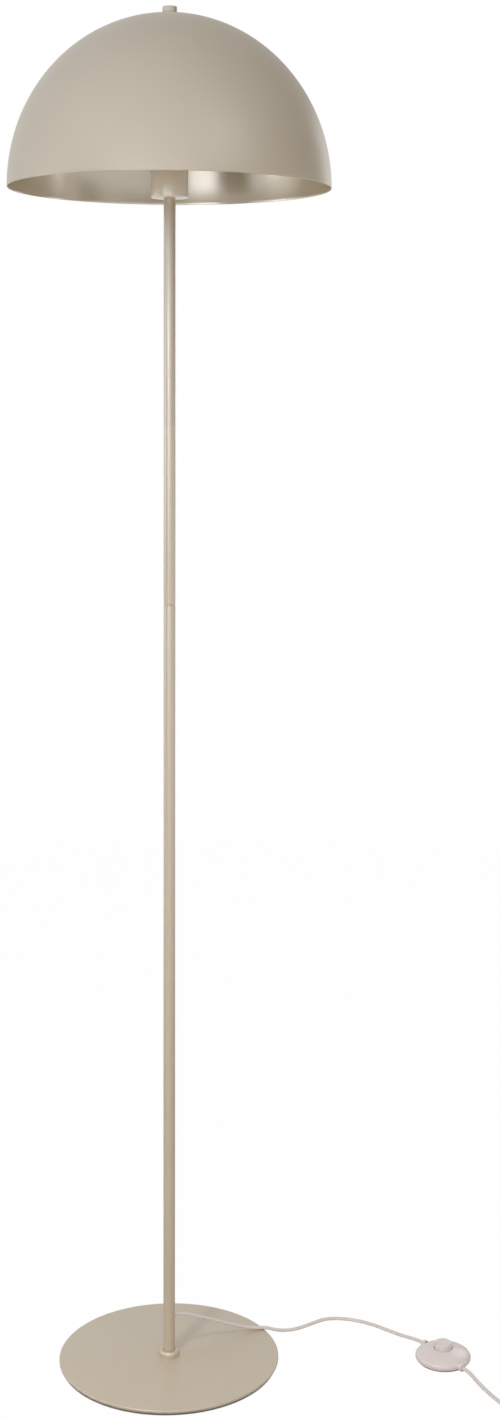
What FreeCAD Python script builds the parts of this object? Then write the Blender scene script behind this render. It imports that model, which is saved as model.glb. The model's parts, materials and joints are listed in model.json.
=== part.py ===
"""Mushroom floor lamp: round steel base, two-piece pole, spun dome shade on a bracket,
E27 lampholder with bulb, and a flat mains lead with a round foot switch and a two-pin plug.

Millimetres. The origin is on the floor at the middle of the base, +Z is up along the pole,
the lead leaves towards +X, and -Y is the side that the lamp is looked at from.
"""
import FreeCAD, Part
import math
import os

import Sketcher

doc = FreeCAD.newDocument("mushroom_floor_lamp")
sheet = doc.addObject("Spreadsheet::Sheet", "Sizes")
parts = []  # the objects that are written out, one per sub-part

# ---------------------------------------------------------------- driving dimensions
SIZES = {
    # overall
    "total_height": 1500.0,  # floor to the top of the knob
    "joint_level": 854.0,  # seam between the two pole tubes
    "press_gap": 0.02,  # radial gap of a pressed or glued fit
    "thread_gap": 0.05,  # radial gap of a screwed or seated fit
    # base
    "plate_radius": 123.0,
    "plate_thick": 4.8,
    "plate_edge": 1.2,  # rounding of the plate's top edge
    "pad_thick": 1.2,
    "pad_inset": 4.0,  # the pad stays this far inside the plate's edge
    "pad_hole": 14.0,
    "screw_radius": 4.0,
    "screw_length": 22.0,
    "sink_depth": 4.0,  # depth of the countersink
    "screw_hex": 2.9,  # socket, centre to corner
    "screw_hex_depth": 2.6,
    "insert_length": 24.0,
    "collar_radius": 11.5,
    "collar_height": 6.0,
    "collar_round": 2.8,
    # pole
    "pole_radius": 6.5,
    "pole_wall": 1.0,
    "tube_chamfer": 0.3,
    "bush_length": 18.0,
    "nipple_radius": 5.0,
    "nipple_wall": 1.3,
    "nipple_reach": 16.0,  # how far a nipple goes into each tube
    "nipple_stand": 9.0,  # how far the upper nipple stands into the cup
    # cord hole
    "hole_level": 51.0,
    "hole_turn": 32.0,  # degrees from +X towards +Y
    "grommet_radius": 3.3,
    "grommet_flange": 4.1,
    "grommet_stand": 0.8,  # flange proud of the pole
    # shade
    "shade_radius": 175.0,
    "shade_height": 185.5,
    "shade_wall": 1.0,
    "shade_hole": 3.4,
    "washer_radius": 7.4,
    "washer_thick": 1.0,
    "knob_radius": 8.0,
    "knob_height": 7.5,
    "knob_round": 1.2,
    "stud_radius": 3.0,
    "stud_in_knob": 5.2,
    "shoulder_radius": 7.0,
    "shoulder_height": 4.0,
    # lampholder
    "cup_drop": 10.0,  # cup's bottom below the shade's rim
    "cup_radius": 20.0,
    "cup_wall": 1.0,
    "cup_height": 46.0,
    "cup_round": 1.2,
    "nut_height": 3.0,
    "nut_corner": 8.1,
    "holder_wall": 2.0,
    "holder_skirt": 17.5,  # height of the lampholder's lower half
    "block_thick": 8.0,
    "shell_bore": 14.1,
    "shell_thread": 18.4,
    "shell_above": 20.0,  # threaded part above the cup
    "shell_flange": 2.5,
    "liner_wall": 0.5,
    "ring_radius": 24.0,
    "ring_height": 6.5,
    "ring_grips": 12,
    # shade carrier
    "strip_width": 12.0,
    "strip_thick": 2.0,
    "carrier_half": 44.0,  # outer half width of the bracket
    "carrier_foot_bend": 7.0,
    "carrier_bend": 30.0,
    "carrier_washer": 26.0,
    # bulb
    "cap_radius": 13.2,
    "cap_wall": 0.35,
    "cap_length": 23.0,
    "tip_height": 4.0,
    "neck_length": 11.0,
    "housing_length": 36.0,
    "housing_wall": 1.4,
    "globe_radius": 30.0,
    "globe_wall": 1.2,
    "globe_seat": 27.0,
    # lead
    "cord_dia": 5.0,
    "cord_lift": 0.1,  # the lead's underside above the floor
    "coil_pitch": 5.6,  # from turn to turn and layer to layer
    "climb_room": 1.0,  # extra room round the half turn that climbs a layer
    "coil_outer": 38.0,  # radius of the outermost turn's centre line
    "core_radius": 1.0,
    # foot switch
    "switch_x": 308.5,
    "switch_y": -11.5,
    "switch_turn": -58.0,  # direction in which the lead leaves it
    "switch_radius": 31.0,
    "switch_split": 4.6,  # height of the joint between base and cover
    "switch_wall": 1.6,
    "cover_edge": 7.4,
    "cover_top": 13.8,
    "foot_thick": 1.0,
    "nose_radius": 4.3,
    "nose_reach": 34.5,
    "button_radius": 9.8,
    "button_gap": 0.5,
    "button_top": 20.5,
    "button_wall": 1.5,
    "button_round": 1.3,
    "button_travel": 3.0,
    "spring_radius": 4.7,
    "spring_wire": 0.8,
    "spring_turns": 6,
    # plug
    "plug_x": 447.0,
    "plug_y": -76.0,
    "plug_width": 35.3,
    "plug_height": 13.7,
    "plug_head": 12.0,  # length of the full-width part
    "plug_length": 34.0,
    "plug_tail_width": 14.0,
    "plug_tail_height": 11.5,
    "plug_chamfer": 2.2,
    "pin_radius": 2.0,
    "pin_spacing": 18.6,
    "pin_length": 19.0,
    "sleeve_length": 10.0,
    "neck_reach": 12.0,
}
for row, (alias, number) in enumerate(SIZES.items(), start=1):
    sheet.set("A%d" % row, alias)
    sheet.set("B%d" % row, str(number))
    sheet.setAlias("B%d" % row, alias)
doc.recompute()


# ---------------------------------------------------------------- helpers
def cell(text):
    """An expression with each size's name turned into its cell."""
    words, word = [], ""
    for letter in text + " ":
        if letter.isalnum() or letter == "_":
            word += letter
            continue
        words.append("Sizes." + word if word in SIZES else word)
        words.append(letter)
        word = ""
    return "".join(words).strip()


def value(text):
    """The number that an expression of sizes gives."""
    return float(sheet.evalExpression(cell(str(text))))


def bind(thing, **expressions):
    """Ties properties of a feature to expressions of sizes."""
    for name, text in expressions.items():
        thing.setExpression(name, cell(str(text)))
    return thing


def place(thing, x="0", y="0", z="0", turn="0", axis=(0, 0, 1)):
    """Puts a feature at a place that expressions give, turned about an axis."""
    spot = FreeCAD.Vector(value(x), value(y), value(z))
    thing.Placement = FreeCAD.Placement(spot, FreeCAD.Rotation(FreeCAD.Vector(*axis), value(turn)))
    for name, text in (("x", x), ("y", y), ("z", z)):
        if not is_number(text):
            thing.setExpression("Placement.Base." + name, cell(text))
    if not is_number(turn):
        thing.setExpression("Placement.Rotation.Angle", cell(turn))
    return thing


def is_number(text):
    """True for plain digits, which need no expression."""
    return str(text).replace(".", "").replace("-", "").isdigit()


def keep(thing, label):
    """Names a finished sub-part and puts it on the list of what is written."""
    thing.Label = label
    parts.append(thing)
    return thing


def new_sketch(body, name, plane):
    """A sketch on one of the body's own origin planes."""
    sketch = body.newObject("Sketcher::SketchObject", name)
    origin_plane = [f for f in body.Origin.OriginFeatures if f.Role == plane][0]
    sketch.AttachmentSupport = [(origin_plane, "")]
    sketch.MapMode = "FlatFace"
    return sketch


def draw(sketch, outline):
    """Closes an outline of (across, up) or (across, up, radius) corners in a sketch.

    A radius makes the edge to the next corner an arc, bulging to the right of travel where it
    is positive and to the left where it is negative. Every corner is tied to its expressions.
    """
    corners = [FreeCAD.Vector(value(c[0]), value(c[1]), 0) for c in outline]
    count = len(outline)
    for i, corner in enumerate(outline):
        a, b = corners[i], corners[(i + 1) % count]
        if len(corner) == 2:
            sketch.addGeometry(Part.LineSegment(a, b), False)
            continue
        radius = value(corner[2])
        chord = b - a
        side = FreeCAD.Vector(chord.y, -chord.x, 0).normalize() * (1 if radius > 0 else -1)
        half = chord.Length / 2
        rise = abs(radius) - math.sqrt(max(radius * radius - half * half, 0.0))
        middle = (a + b) * 0.5 + side * rise
        sketch.addGeometry(Part.Arc(a, middle, b), False)
    ends = []
    for i, corner in enumerate(corners):
        start = 1 if sketch.getPoint(i, 1).distanceToPoint(corner) < 1e-6 else 2
        ends.append((start, 3 - start))
    for i, corner in enumerate(outline):
        following = (i + 1) % count
        sketch.addConstraint(
            Sketcher.Constraint("Coincident", i, ends[i][1], following, ends[following][0])
        )
        for kind, axis, text in (("DistanceX", -2, corner[0]), ("DistanceY", -1, corner[1])):
            if str(text) == "0":
                sketch.addConstraint(
                    Sketcher.Constraint("PointOnObject", i, ends[i][0], axis)
                )
                continue
            index = sketch.addConstraint(
                Sketcher.Constraint(kind, -1, 1, i, ends[i][0], value(text))
            )
            sketch.setExpression("Constraints[%d]" % index, cell(str(text)))
        if len(corner) == 3:
            index = sketch.addConstraint(
                Sketcher.Constraint("Radius", i, abs(value(corner[2])))
            )
            sketch.setExpression("Constraints[%d]" % index, "abs(%s)" % cell(str(corner[2])))
    return sketch


def turned(label, outline, **where):
    """A body turned about +Z from an outline of (radius, height) corners."""
    body = doc.addObject("PartDesign::Body", "body_" + label)
    sketch = draw(new_sketch(body, "profile_" + label, "XZ_Plane"), outline)
    turn = body.newObject("PartDesign::Revolution", "turn_" + label)
    turn.Profile = sketch
    turn.ReferenceAxis = (sketch, ["V_Axis"])
    turn.Angle = 360.0
    body.Tip = turn
    if where:
        place(body, **where)
    return body


def plate(label, outline, depth, plane="XY_Plane", middle=False, **where):
    """A body pushed out from an outline on an origin plane, to one side or about the middle."""
    body = doc.addObject("PartDesign::Body", "body_" + label)
    sketch = draw(new_sketch(body, "profile_" + label, plane), outline)
    pad = body.newObject("PartDesign::Pad", "pad_" + label)
    pad.Profile = sketch
    bind(pad, Length=depth)
    pad.Midplane = middle
    body.Tip = pad
    if where:
        place(body, **where)
    return body


def rod(label, radius, length, x="0", y="0", z="0", turn="0", axis=(0, 0, 1)):
    """A plain cylinder from a place along +Z, or along its own axis once it is turned."""
    cylinder = doc.addObject("Part::Cylinder", label)
    bind(cylinder, Radius=radius, Height=length)
    return place(cylinder, x, y, z, turn, axis)


def block(label, length, width, height, x="0", y="0", z="0"):
    """A box centred on x and y that stands on z."""
    box = doc.addObject("Part::Box", label)
    bind(box, Length=length, Width=width, Height=height)
    return place(box, "(%s) - (%s) / 2" % (x, length), "(%s) - (%s) / 2" % (y, width), z)


def cut(label, base, tool):
    """Base with the tool's space taken out of it."""
    shape = doc.addObject("Part::Cut", label)
    shape.Base, shape.Tool = base, tool
    return shape


def fuse(label, things):
    """Several solids joined into one."""
    shape = doc.addObject("Part::MultiFuse", label)
    shape.Shapes = things
    shape.Refine = True
    return shape


def group(label, things):
    """Several separate solids in one sub-part."""
    shape = doc.addObject("Part::Compound", label)
    shape.Links = things
    return shape


def ring(inner, outer, low, high):
    """The outline of a plain ring."""
    return [(inner, low), (outer, low), (outer, high), (inner, high)]


# ---------------------------------------------------------------- shared heights and radii
PLATE_TOP = "(pad_thick + plate_thick)"
POLE_BORE = "(pole_radius - pole_wall)"
RIM_LEVEL = "(total_height - knob_height - washer_thick - shade_height)"
APEX_LEVEL = "(total_height - knob_height - washer_thick)"
CUP_LEVEL = "(%s - cup_drop)" % RIM_LEVEL
CUP_TOP = "(%s + cup_height)" % CUP_LEVEL
BUSH_OUTER = "(%s - press_gap)" % POLE_BORE
BUSH_BORE = "(nipple_radius + thread_gap)"
NIPPLE_BORE = "(nipple_radius - nipple_wall)"


# ---------------------------------------------------------------- base
keep(turned("base_pad", ring("pad_hole", "plate_radius - pad_inset", "0", "pad_thick")), "base_pad")

SINK_RADIUS = "(screw_radius + 0.2 + sink_depth)"
keep(
    turned(
        "base_plate",
        [
            (SINK_RADIUS, "pad_thick"),
            ("plate_radius", "pad_thick"),
            ("plate_radius", PLATE_TOP + " - plate_edge", "plate_edge"),
            ("plate_radius - plate_edge", PLATE_TOP),
            ("screw_radius + 0.2", PLATE_TOP),
            ("screw_radius + 0.2", "pad_thick + sink_depth"),
        ],
    ),
    "base_plate",
)

HEAD_LOW = "(pad_thick + 0.3)"
screw = turned(
    "base_screw_blank",
    [
        ("0", HEAD_LOW),
        ("screw_radius + 0.2 + sink_depth - 0.3 - thread_gap", HEAD_LOW),
        ("screw_radius", "pad_thick + sink_depth + 0.2 - thread_gap"),
        ("screw_radius", HEAD_LOW + " + screw_length - 1"),
        ("screw_radius - 1", HEAD_LOW + " + screw_length"),
        ("0", HEAD_LOW + " + screw_length"),
    ],
)
hexagon = doc.addObject("Part::Prism", "base_screw_socket")
hexagon.Polygon = 6
bind(hexagon, Circumradius="screw_hex", Height="screw_hex_depth + 1")
place(hexagon, z=HEAD_LOW + " - 1")
keep(cut("base_screw_cut", screw, hexagon), "base_screw")

keep(
    turned(
        "foot_insert",
        ring("screw_radius + thread_gap", BUSH_OUTER, PLATE_TOP, PLATE_TOP + " + insert_length"),
    ),
    "foot_insert",
)

COLLAR_TOP = "(%s + collar_height)" % PLATE_TOP
keep(
    turned(
        "pole_collar",
        [
            ("pole_radius + thread_gap", PLATE_TOP),
            ("collar_radius", PLATE_TOP),
            ("collar_radius", COLLAR_TOP + " - collar_round", "collar_round"),
            ("collar_radius - collar_round", COLLAR_TOP),
            ("pole_radius + 0.8", COLLAR_TOP),
            ("pole_radius + thread_gap", COLLAR_TOP + " - 0.8"),
        ],
    ),
    "pole_collar",
)


# ---------------------------------------------------------------- pole
def tube(label, low, high):
    """A pole tube with its outer edges broken."""
    return turned(
        label,
        [
            (POLE_BORE, low),
            ("pole_radius - tube_chamfer", low),
            ("pole_radius", "%s + tube_chamfer" % low),
            ("pole_radius", "%s - tube_chamfer" % high),
            ("pole_radius - tube_chamfer", high),
            (POLE_BORE, high),
        ],
    )


hole = rod(
    "cord_hole", "grommet_radius + thread_gap", "pole_radius * 2", z="hole_level", turn="90", axis=(0, 1, 0)
)
drilled = cut("lower_pole_drilled", tube("lower_pole_tube", PLATE_TOP, "joint_level"), hole)
place(drilled, turn="hole_turn")
keep(drilled, "lower_pole")
keep(tube("upper_pole", "joint_level", CUP_LEVEL), "upper_pole")

BUSHES = {
    "lower_joint_bush": "joint_level - bush_length",
    "upper_joint_bush": "joint_level",
    "top_bush": CUP_LEVEL + " - bush_length",
}
for bush, low in BUSHES.items():
    keep(turned(bush, ring(BUSH_BORE, BUSH_OUTER, low, low + " + bush_length")), bush)
NIPPLES = {
    "joint_nipple": ("joint_level - nipple_reach", "joint_level + nipple_reach"),
    "holder_nipple": (CUP_LEVEL + " - nipple_reach", CUP_LEVEL + " + nipple_stand"),
}
for nipple, (low, high) in NIPPLES.items():
    keep(turned(nipple, ring(NIPPLE_BORE, "nipple_radius", low, high)), nipple)

# The grommet lies along +X here and is turned to the cord hole.
GROMMET_END = "(pole_radius + grommet_stand)"
sleeve = rod("grommet_sleeve", "grommet_radius", "%s - 4.4" % GROMMET_END, x="4.4", turn="90", axis=(0, 1, 0))
flange = rod("grommet_flange_blank", "grommet_flange", "3", x=GROMMET_END + " - 3", turn="90", axis=(0, 1, 0))
saddle = rod("grommet_saddle", "pole_radius", "20", z="-10")
flange = cut("grommet_flange_seated", flange, saddle)
bush_bore = rod("grommet_bore", "cord_dia / 2 + thread_gap", "20", turn="90", axis=(0, 1, 0))
grommet = cut("grommet_bored", fuse("grommet_solid", [sleeve, flange]), bush_bore)
keep(place(grommet, z="hole_level", turn="hole_turn"), "cord_grommet")


# ---------------------------------------------------------------- lampholder
CUP_FLOOR = "(%s + cup_wall)" % CUP_LEVEL
keep(
    turned(
        "socket_cup",
        [
            ("nipple_radius + thread_gap", CUP_LEVEL),
            ("cup_radius - cup_round", CUP_LEVEL, "cup_round"),
            ("cup_radius", CUP_LEVEL + " + cup_round"),
            ("cup_radius", CUP_TOP),
            ("cup_radius - cup_wall", CUP_TOP),
            ("cup_radius - cup_wall", CUP_FLOOR),
            ("nipple_radius + thread_gap", CUP_FLOOR),
        ],
    ),
    "socket_cup",
)

nut = doc.addObject("Part::Prism", "nipple_nut_blank")
nut.Polygon = 6
bind(nut, Circumradius="nut_corner", Height="nut_height")
place(nut, z=CUP_FLOOR)
nut_bore = rod("nipple_nut_bore", BUSH_BORE, "nut_height + 2", z=CUP_FLOOR + " - 1")
keep(cut("nipple_nut_cut", nut, nut_bore), "nipple_nut")

HOLDER_LOW = "(%s + nut_height)" % CUP_FLOOR
HOLDER_OUTER = "(cup_radius - cup_wall - 0.3)"
HOLDER_INNER = "(%s - holder_wall)" % HOLDER_OUTER
HOLDER_TOP = "(%s + holder_skirt)" % HOLDER_LOW
BLOCK_LOW = "(%s - block_thick + 2)" % HOLDER_TOP
keep(
    turned(
        "lampholder_base",
        [
            (BUSH_BORE, HOLDER_LOW),
            (HOLDER_OUTER, HOLDER_LOW),
            (HOLDER_OUTER, HOLDER_TOP),
            (HOLDER_INNER, HOLDER_TOP),
            (HOLDER_INNER, BLOCK_LOW),
            (HOLDER_INNER + " - 1.5", BLOCK_LOW),
            (HOLDER_INNER + " - 1.5", HOLDER_LOW + " + holder_wall"),
            ("nipple_radius + 3.2", HOLDER_LOW + " + holder_wall"),
            ("nipple_radius + 3.2", CUP_LEVEL + " + nipple_stand + 0.5"),
            (BUSH_BORE, CUP_LEVEL + " + nipple_stand + 0.5"),
        ],
    ),
    "lampholder_base",
)

# Terminal block: a ceramic disc with two holes for the cores and two for the terminal screws.
CORE_HOLE = "10"
SCREW_PLACE = "8.5"
BLOCK_TOP = "(%s + block_thick)" % BLOCK_LOW
disc = rod("block_disc", HOLDER_INNER + " - thread_gap", "block_thick", z=BLOCK_LOW)
block_holes = []
for side in ("", "-"):
    block_holes.append(
        rod("core_hole", "core_radius + 0.3", "block_thick + 2", x=side + CORE_HOLE, z=BLOCK_LOW + " - 1")
    )
    block_holes.append(
        rod("screw_hole", "1.55", "block_thick + 2", y=side + SCREW_PLACE, z=BLOCK_LOW + " - 1")
    )
keep(cut("block_drilled", disc, fuse("block_holes", block_holes)), "lampholder_block")

# Brass tongue that touches the bulb's tip, bent up from the block.
TONGUE_TOP = "(%s + 4.6)" % BLOCK_TOP
keep(
    plate(
        "centre_contact",
        [
            ("-11", BLOCK_TOP),
            ("-6", BLOCK_TOP),
            ("-2.8", TONGUE_TOP + " - 0.6"),
            ("4", TONGUE_TOP + " - 0.6"),
            ("4", TONGUE_TOP),
            ("-3.2", TONGUE_TOP),
            ("-6.4", BLOCK_TOP + " + 0.6"),
            ("-11", BLOCK_TOP + " + 0.6"),
        ],
        "6",
        plane="XZ_Plane",
        middle=True,
    ),
    "centre_contact",
)

SHELL_TOP = "(%s + shell_above)" % CUP_TOP
FLANGE_TOP = "(%s + shell_flange)" % CUP_TOP
keep(
    turned(
        "lampholder_shell",
        [
            (HOLDER_INNER, HOLDER_TOP),
            (HOLDER_OUTER, HOLDER_TOP),
            (HOLDER_OUTER, CUP_TOP),
            ("cup_radius", CUP_TOP),
            ("cup_radius", FLANGE_TOP),
            ("shell_thread", FLANGE_TOP),
            ("shell_thread", SHELL_TOP + " - 0.8"),
            ("shell_thread - 0.8", SHELL_TOP),
            ("shell_bore", SHELL_TOP),
            ("shell_bore", BLOCK_TOP),
            (HOLDER_INNER, BLOCK_TOP),
        ],
    ),
    "lampholder_shell",
)
LINER_OUTER = "(shell_bore - thread_gap)"
keep(
    turned(
        "thread_liner",
        ring(LINER_OUTER + " - liner_wall", LINER_OUTER, BLOCK_TOP + " + 1", SHELL_TOP + " - 12"),
    ),
    "thread_liner",
)


def cheese_head(label, radius, head, length, head_height, **where):
    """A small screw: a flat head on top and a shank below it."""
    return turned(
        label,
        [
            ("0", "-(%s)" % length),
            (radius, "-(%s)" % length),
            (radius, "0"),
            (head, "0"),
            (head, head_height),
            ("0", head_height),
        ],
        **where
    )


holder_screws = [
    cheese_head("holder_screw", "1.5", "2.6", "6", "1.4", y=side + SCREW_PLACE, z=BLOCK_TOP)
    for side in ("", "-")
]
keep(group("holder_screw_pair", holder_screws), "holder_screws")

# Shade ring: a nut with grip notches round it, which clamps the carrier on the shell's thread.
RING_LOW = "(%s + strip_thick)" % FLANGE_TOP
ring_blank = turned(
    "shade_ring_blank",
    [
        ("shell_thread + thread_gap", RING_LOW),
        ("ring_radius", RING_LOW),
        ("ring_radius", RING_LOW + " + ring_height - 1"),
        ("ring_radius - 1", RING_LOW + " + ring_height"),
        ("shell_thread + thread_gap", RING_LOW + " + ring_height"),
    ],
)
notches = []
for step in range(SIZES["ring_grips"]):
    angle = 360.0 / SIZES["ring_grips"] * step
    notches.append(
        rod(
            "ring_notch",
            "1.6",
            "ring_height + 2",
            x="(ring_radius + 0.6) * cos(%s deg)" % angle,
            y="(ring_radius + 0.6) * sin(%s deg)" % angle,
            z=RING_LOW + " - 1",
        )
    )
keep(cut("shade_ring_notched", ring_blank, fuse("ring_notches", notches)), "shade_ring")


# ---------------------------------------------------------------- shade carrier
SHADE_INSIDE = "(%s - shade_wall)" % APEX_LEVEL
CARRIER_TOP = "(%s - shoulder_height)" % SHADE_INSIDE
OUT = "carrier_half"
IN = "(carrier_half - strip_thick)"
FOOT = "carrier_foot_bend"
INNER_FOOT = "(carrier_foot_bend - strip_thick)"
INNER_BEND = "(carrier_bend - strip_thick)"
FOOT_TOP = "(%s + strip_thick)" % FLANGE_TOP
right_side = [
    ("15", FLANGE_TOP),
    (OUT + " - " + FOOT, FLANGE_TOP, FOOT),
    (OUT, FLANGE_TOP + " + " + FOOT),
    (OUT, CARRIER_TOP + " - carrier_bend", "carrier_bend"),
    (OUT + " - carrier_bend", CARRIER_TOP),
]
left_inside = [
    ("-(%s - %s)" % (IN, INNER_BEND), CARRIER_TOP + " - strip_thick", INNER_BEND),
    ("-" + IN, CARRIER_TOP + " - carrier_bend"),
    ("-" + IN, FLANGE_TOP + " + " + FOOT, INNER_FOOT),
    ("-(%s - %s)" % (IN, INNER_FOOT), FOOT_TOP),
    ("-15", FOOT_TOP),
]


def mirrored(path):
    """The same stretch of outline on the other side, walked the other way."""
    points = [("-(%s)" % corner[0], corner[1]) for corner in reversed(path)]
    radii = [corner[2] if len(corner) == 3 else None for corner in path]
    for i, radius in enumerate(reversed(radii[:-1])):
        if radius:
            points[i] = points[i] + (radius,)
    return points


left_side = mirrored(right_side)
outside = right_side + left_side
inside = [(c[0], c[1]) for c in left_inside]
left_back = list(reversed(inside))
left_back[1] = left_back[1] + ("-(%s)" % INNER_FOOT,)
left_back[3] = left_back[3] + ("-(%s)" % INNER_BEND,)
right_back = mirrored(left_back)
strip = plate(
    "carrier_strip", outside + left_back + right_back, "strip_width", plane="XZ_Plane", middle=True
)
eye = rod("carrier_eye", "carrier_washer", "strip_thick", z=FLANGE_TOP)
eye_hole = rod("carrier_eye_hole", "shell_thread + 0.2", "strip_thick + 2", z=FLANGE_TOP + " - 1")
stud_hole = rod(
    "carrier_stud_hole", "stud_radius + thread_gap", "strip_thick + 2", z=CARRIER_TOP + " - strip_thick - 1"
)
carrier = cut(
    "carrier_bored", fuse("carrier_solid", [strip, eye]), fuse("carrier_holes", [eye_hole, stud_hole])
)
keep(carrier, "shade_carrier")

# Stud: riveted under the strip, a shoulder for the shade to sit on, and a thread for the knob.
KNOB_LOW = "(%s + washer_thick)" % APEX_LEVEL
keep(
    turned(
        "carrier_stud",
        [
            ("0", CARRIER_TOP + " - strip_thick - 1.6"),
            ("stud_radius + 1.2", CARRIER_TOP + " - strip_thick - 1.6", "4.2"),
            ("stud_radius + 2", CARRIER_TOP + " - strip_thick"),
            ("stud_radius", CARRIER_TOP + " - strip_thick"),
            ("stud_radius", CARRIER_TOP),
            ("shoulder_radius", CARRIER_TOP),
            ("shoulder_radius", SHADE_INSIDE + " - 0.2"),
            ("stud_radius", SHADE_INSIDE + " - 0.2"),
            ("stud_radius", KNOB_LOW + " + stud_in_knob - 0.6"),
            ("stud_radius - 0.6", KNOB_LOW + " + stud_in_knob"),
            ("0", KNOB_LOW + " + stud_in_knob"),
        ],
    ),
    "carrier_stud",
)


# ---------------------------------------------------------------- shade and knob
def half_ellipsoid(label, radius, height):
    """The upper half of an ellipsoid of revolution that stands on the rim's level."""
    dome = doc.addObject("Part::Ellipsoid", label)
    dome.Angle1 = 0.0
    bind(dome, Radius1=height, Radius2=radius, Radius3=radius)
    return place(dome, z=RIM_LEVEL)


shade = cut(
    "shade_shell",
    half_ellipsoid("shade_outside", "shade_radius", "shade_height"),
    half_ellipsoid("shade_inside", "shade_radius - shade_wall", "shade_height - shade_wall"),
)
shade_hole = rod("shade_stud_hole", "shade_hole", "shade_wall + 10", z=SHADE_INSIDE + " - 5")
keep(cut("shade_bored", shade, shade_hole), "shade")

keep(
    turned("shade_washer", ring("stud_radius + 0.2", "washer_radius", APEX_LEVEL, KNOB_LOW)),
    "shade_washer",
)
keep(
    turned(
        "finial_knob",
        [
            ("stud_radius + thread_gap", KNOB_LOW),
            ("knob_radius - 0.3", KNOB_LOW),
            ("knob_radius", KNOB_LOW + " + 0.3"),
            ("knob_radius", "total_height - knob_round", "knob_round"),
            ("knob_radius - knob_round", "total_height"),
            ("0", "total_height"),
            ("0", KNOB_LOW + " + stud_in_knob + 0.3"),
            ("stud_radius + thread_gap", KNOB_LOW + " + stud_in_knob + 0.3"),
        ],
    ),
    "finial_knob",
)


# ---------------------------------------------------------------- bulb
TIP_LOW = "(%s + 0.1)" % TONGUE_TOP
CAP_LOW = "(%s + tip_height)" % TIP_LOW
CAP_TOP = "(%s + cap_length)" % CAP_LOW
HOUSING_TOP = "(%s + housing_length)" % CAP_TOP
GLOBE_LEVEL = "(%s + sqrt(globe_radius ^ 2 - globe_seat ^ 2))" % HOUSING_TOP
CAP_INNER = "(cap_radius - cap_wall)"
keep(
    turned(
        "bulb_contact",
        [
            ("0", TIP_LOW),
            ("4", TIP_LOW),
            ("5", TIP_LOW + " + 1"),
            ("7", CAP_LOW),
            (CAP_INNER + " - 0.5", CAP_LOW + " + 3"),
            (CAP_INNER + " - 0.5", CAP_LOW + " + 4"),
            ("0", CAP_LOW + " + 4"),
        ],
    ),
    "bulb_contact",
)
keep(
    turned(
        "bulb_cap",
        [
            (CAP_INNER + " - 0.45", CAP_LOW + " + 2"),
            ("cap_radius - 1", CAP_LOW + " + 2"),
            ("cap_radius", CAP_LOW + " + 3"),
            ("cap_radius", CAP_TOP),
            (CAP_INNER, CAP_TOP),
            (CAP_INNER, CAP_LOW + " + 4.1"),
            (CAP_INNER + " - 0.45", CAP_LOW + " + 4.1"),
        ],
    ),
    "bulb_cap",
)
HOUSING_FOOT = "(%s - press_gap)" % CAP_INNER
keep(
    turned(
        "bulb_housing",
        [
            (HOUSING_FOOT + " - housing_wall", CAP_TOP + " - 6"),
            (HOUSING_FOOT, CAP_TOP + " - 6"),
            (HOUSING_FOOT, CAP_TOP),
            ("cap_radius", CAP_TOP),
            ("cap_radius + 0.3", CAP_TOP + " + neck_length", "-60"),
            ("globe_seat", HOUSING_TOP),
            ("globe_seat - housing_wall", HOUSING_TOP),
            (HOUSING_FOOT + " - housing_wall", CAP_TOP + " + neck_length"),
        ],
    ),
    "bulb_housing",
)
BOARD_THICK = "1.6"
HOUSING_FLARE = "((globe_seat - %s) / (housing_length - neck_length))" % HOUSING_FOOT
BOARD_RADIUS = "(globe_seat - housing_wall - %s * %s - thread_gap)" % (BOARD_THICK, HOUSING_FLARE)
keep(
    turned("bulb_board", ring("1.5", BOARD_RADIUS, HOUSING_TOP + " - " + BOARD_THICK, HOUSING_TOP)),
    "bulb_board",
)
GLOBE_INNER = "(globe_radius - globe_wall)"
keep(
    turned(
        "bulb_globe",
        [
            ("globe_seat", HOUSING_TOP, "globe_radius"),
            ("globe_radius", GLOBE_LEVEL, "globe_radius"),
            ("0", GLOBE_LEVEL + " + globe_radius"),
            ("0", GLOBE_LEVEL + " + " + GLOBE_INNER, "-" + GLOBE_INNER),
            (GLOBE_INNER, GLOBE_LEVEL, "-" + GLOBE_INNER),
            (
                "sqrt(%s ^ 2 - (globe_radius ^ 2 - globe_seat ^ 2))" % GLOBE_INNER,
                HOUSING_TOP,
            ),
        ],
    ),
    "bulb_globe",
)


# ---------------------------------------------------------------- cords
CORD_RADIUS = value("cord_dia / 2")
FLOOR_LINE = value("cord_dia / 2 + cord_lift")


def bend_path(points, share=0.45):
    """Straight runs joined by tangent arcs as large as the runs allow, and the arcs' radii."""
    edges, radii, here = [], [], points[0]
    for before, corner, after in zip(points, points[1:], points[2:]):
        come, go = corner - before, after - corner
        half = come.getAngle(go) / 2
        reach = share * min(come.Length, go.Length)
        radii.append(reach / math.tan(half))
        start = corner - come.normalize() * reach
        end = corner + go.normalize() * reach
        inward = (start + end) * 0.5 - corner
        depth = radii[-1] / math.cos(half) - radii[-1]
        edges.append(Part.LineSegment(here, start).toShape())
        edges.append(Part.Arc(start, corner + inward.normalize() * depth, end).toShape())
        here = end
    edges.append(Part.LineSegment(here, points[-1]).toShape())
    return edges, radii


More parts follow.
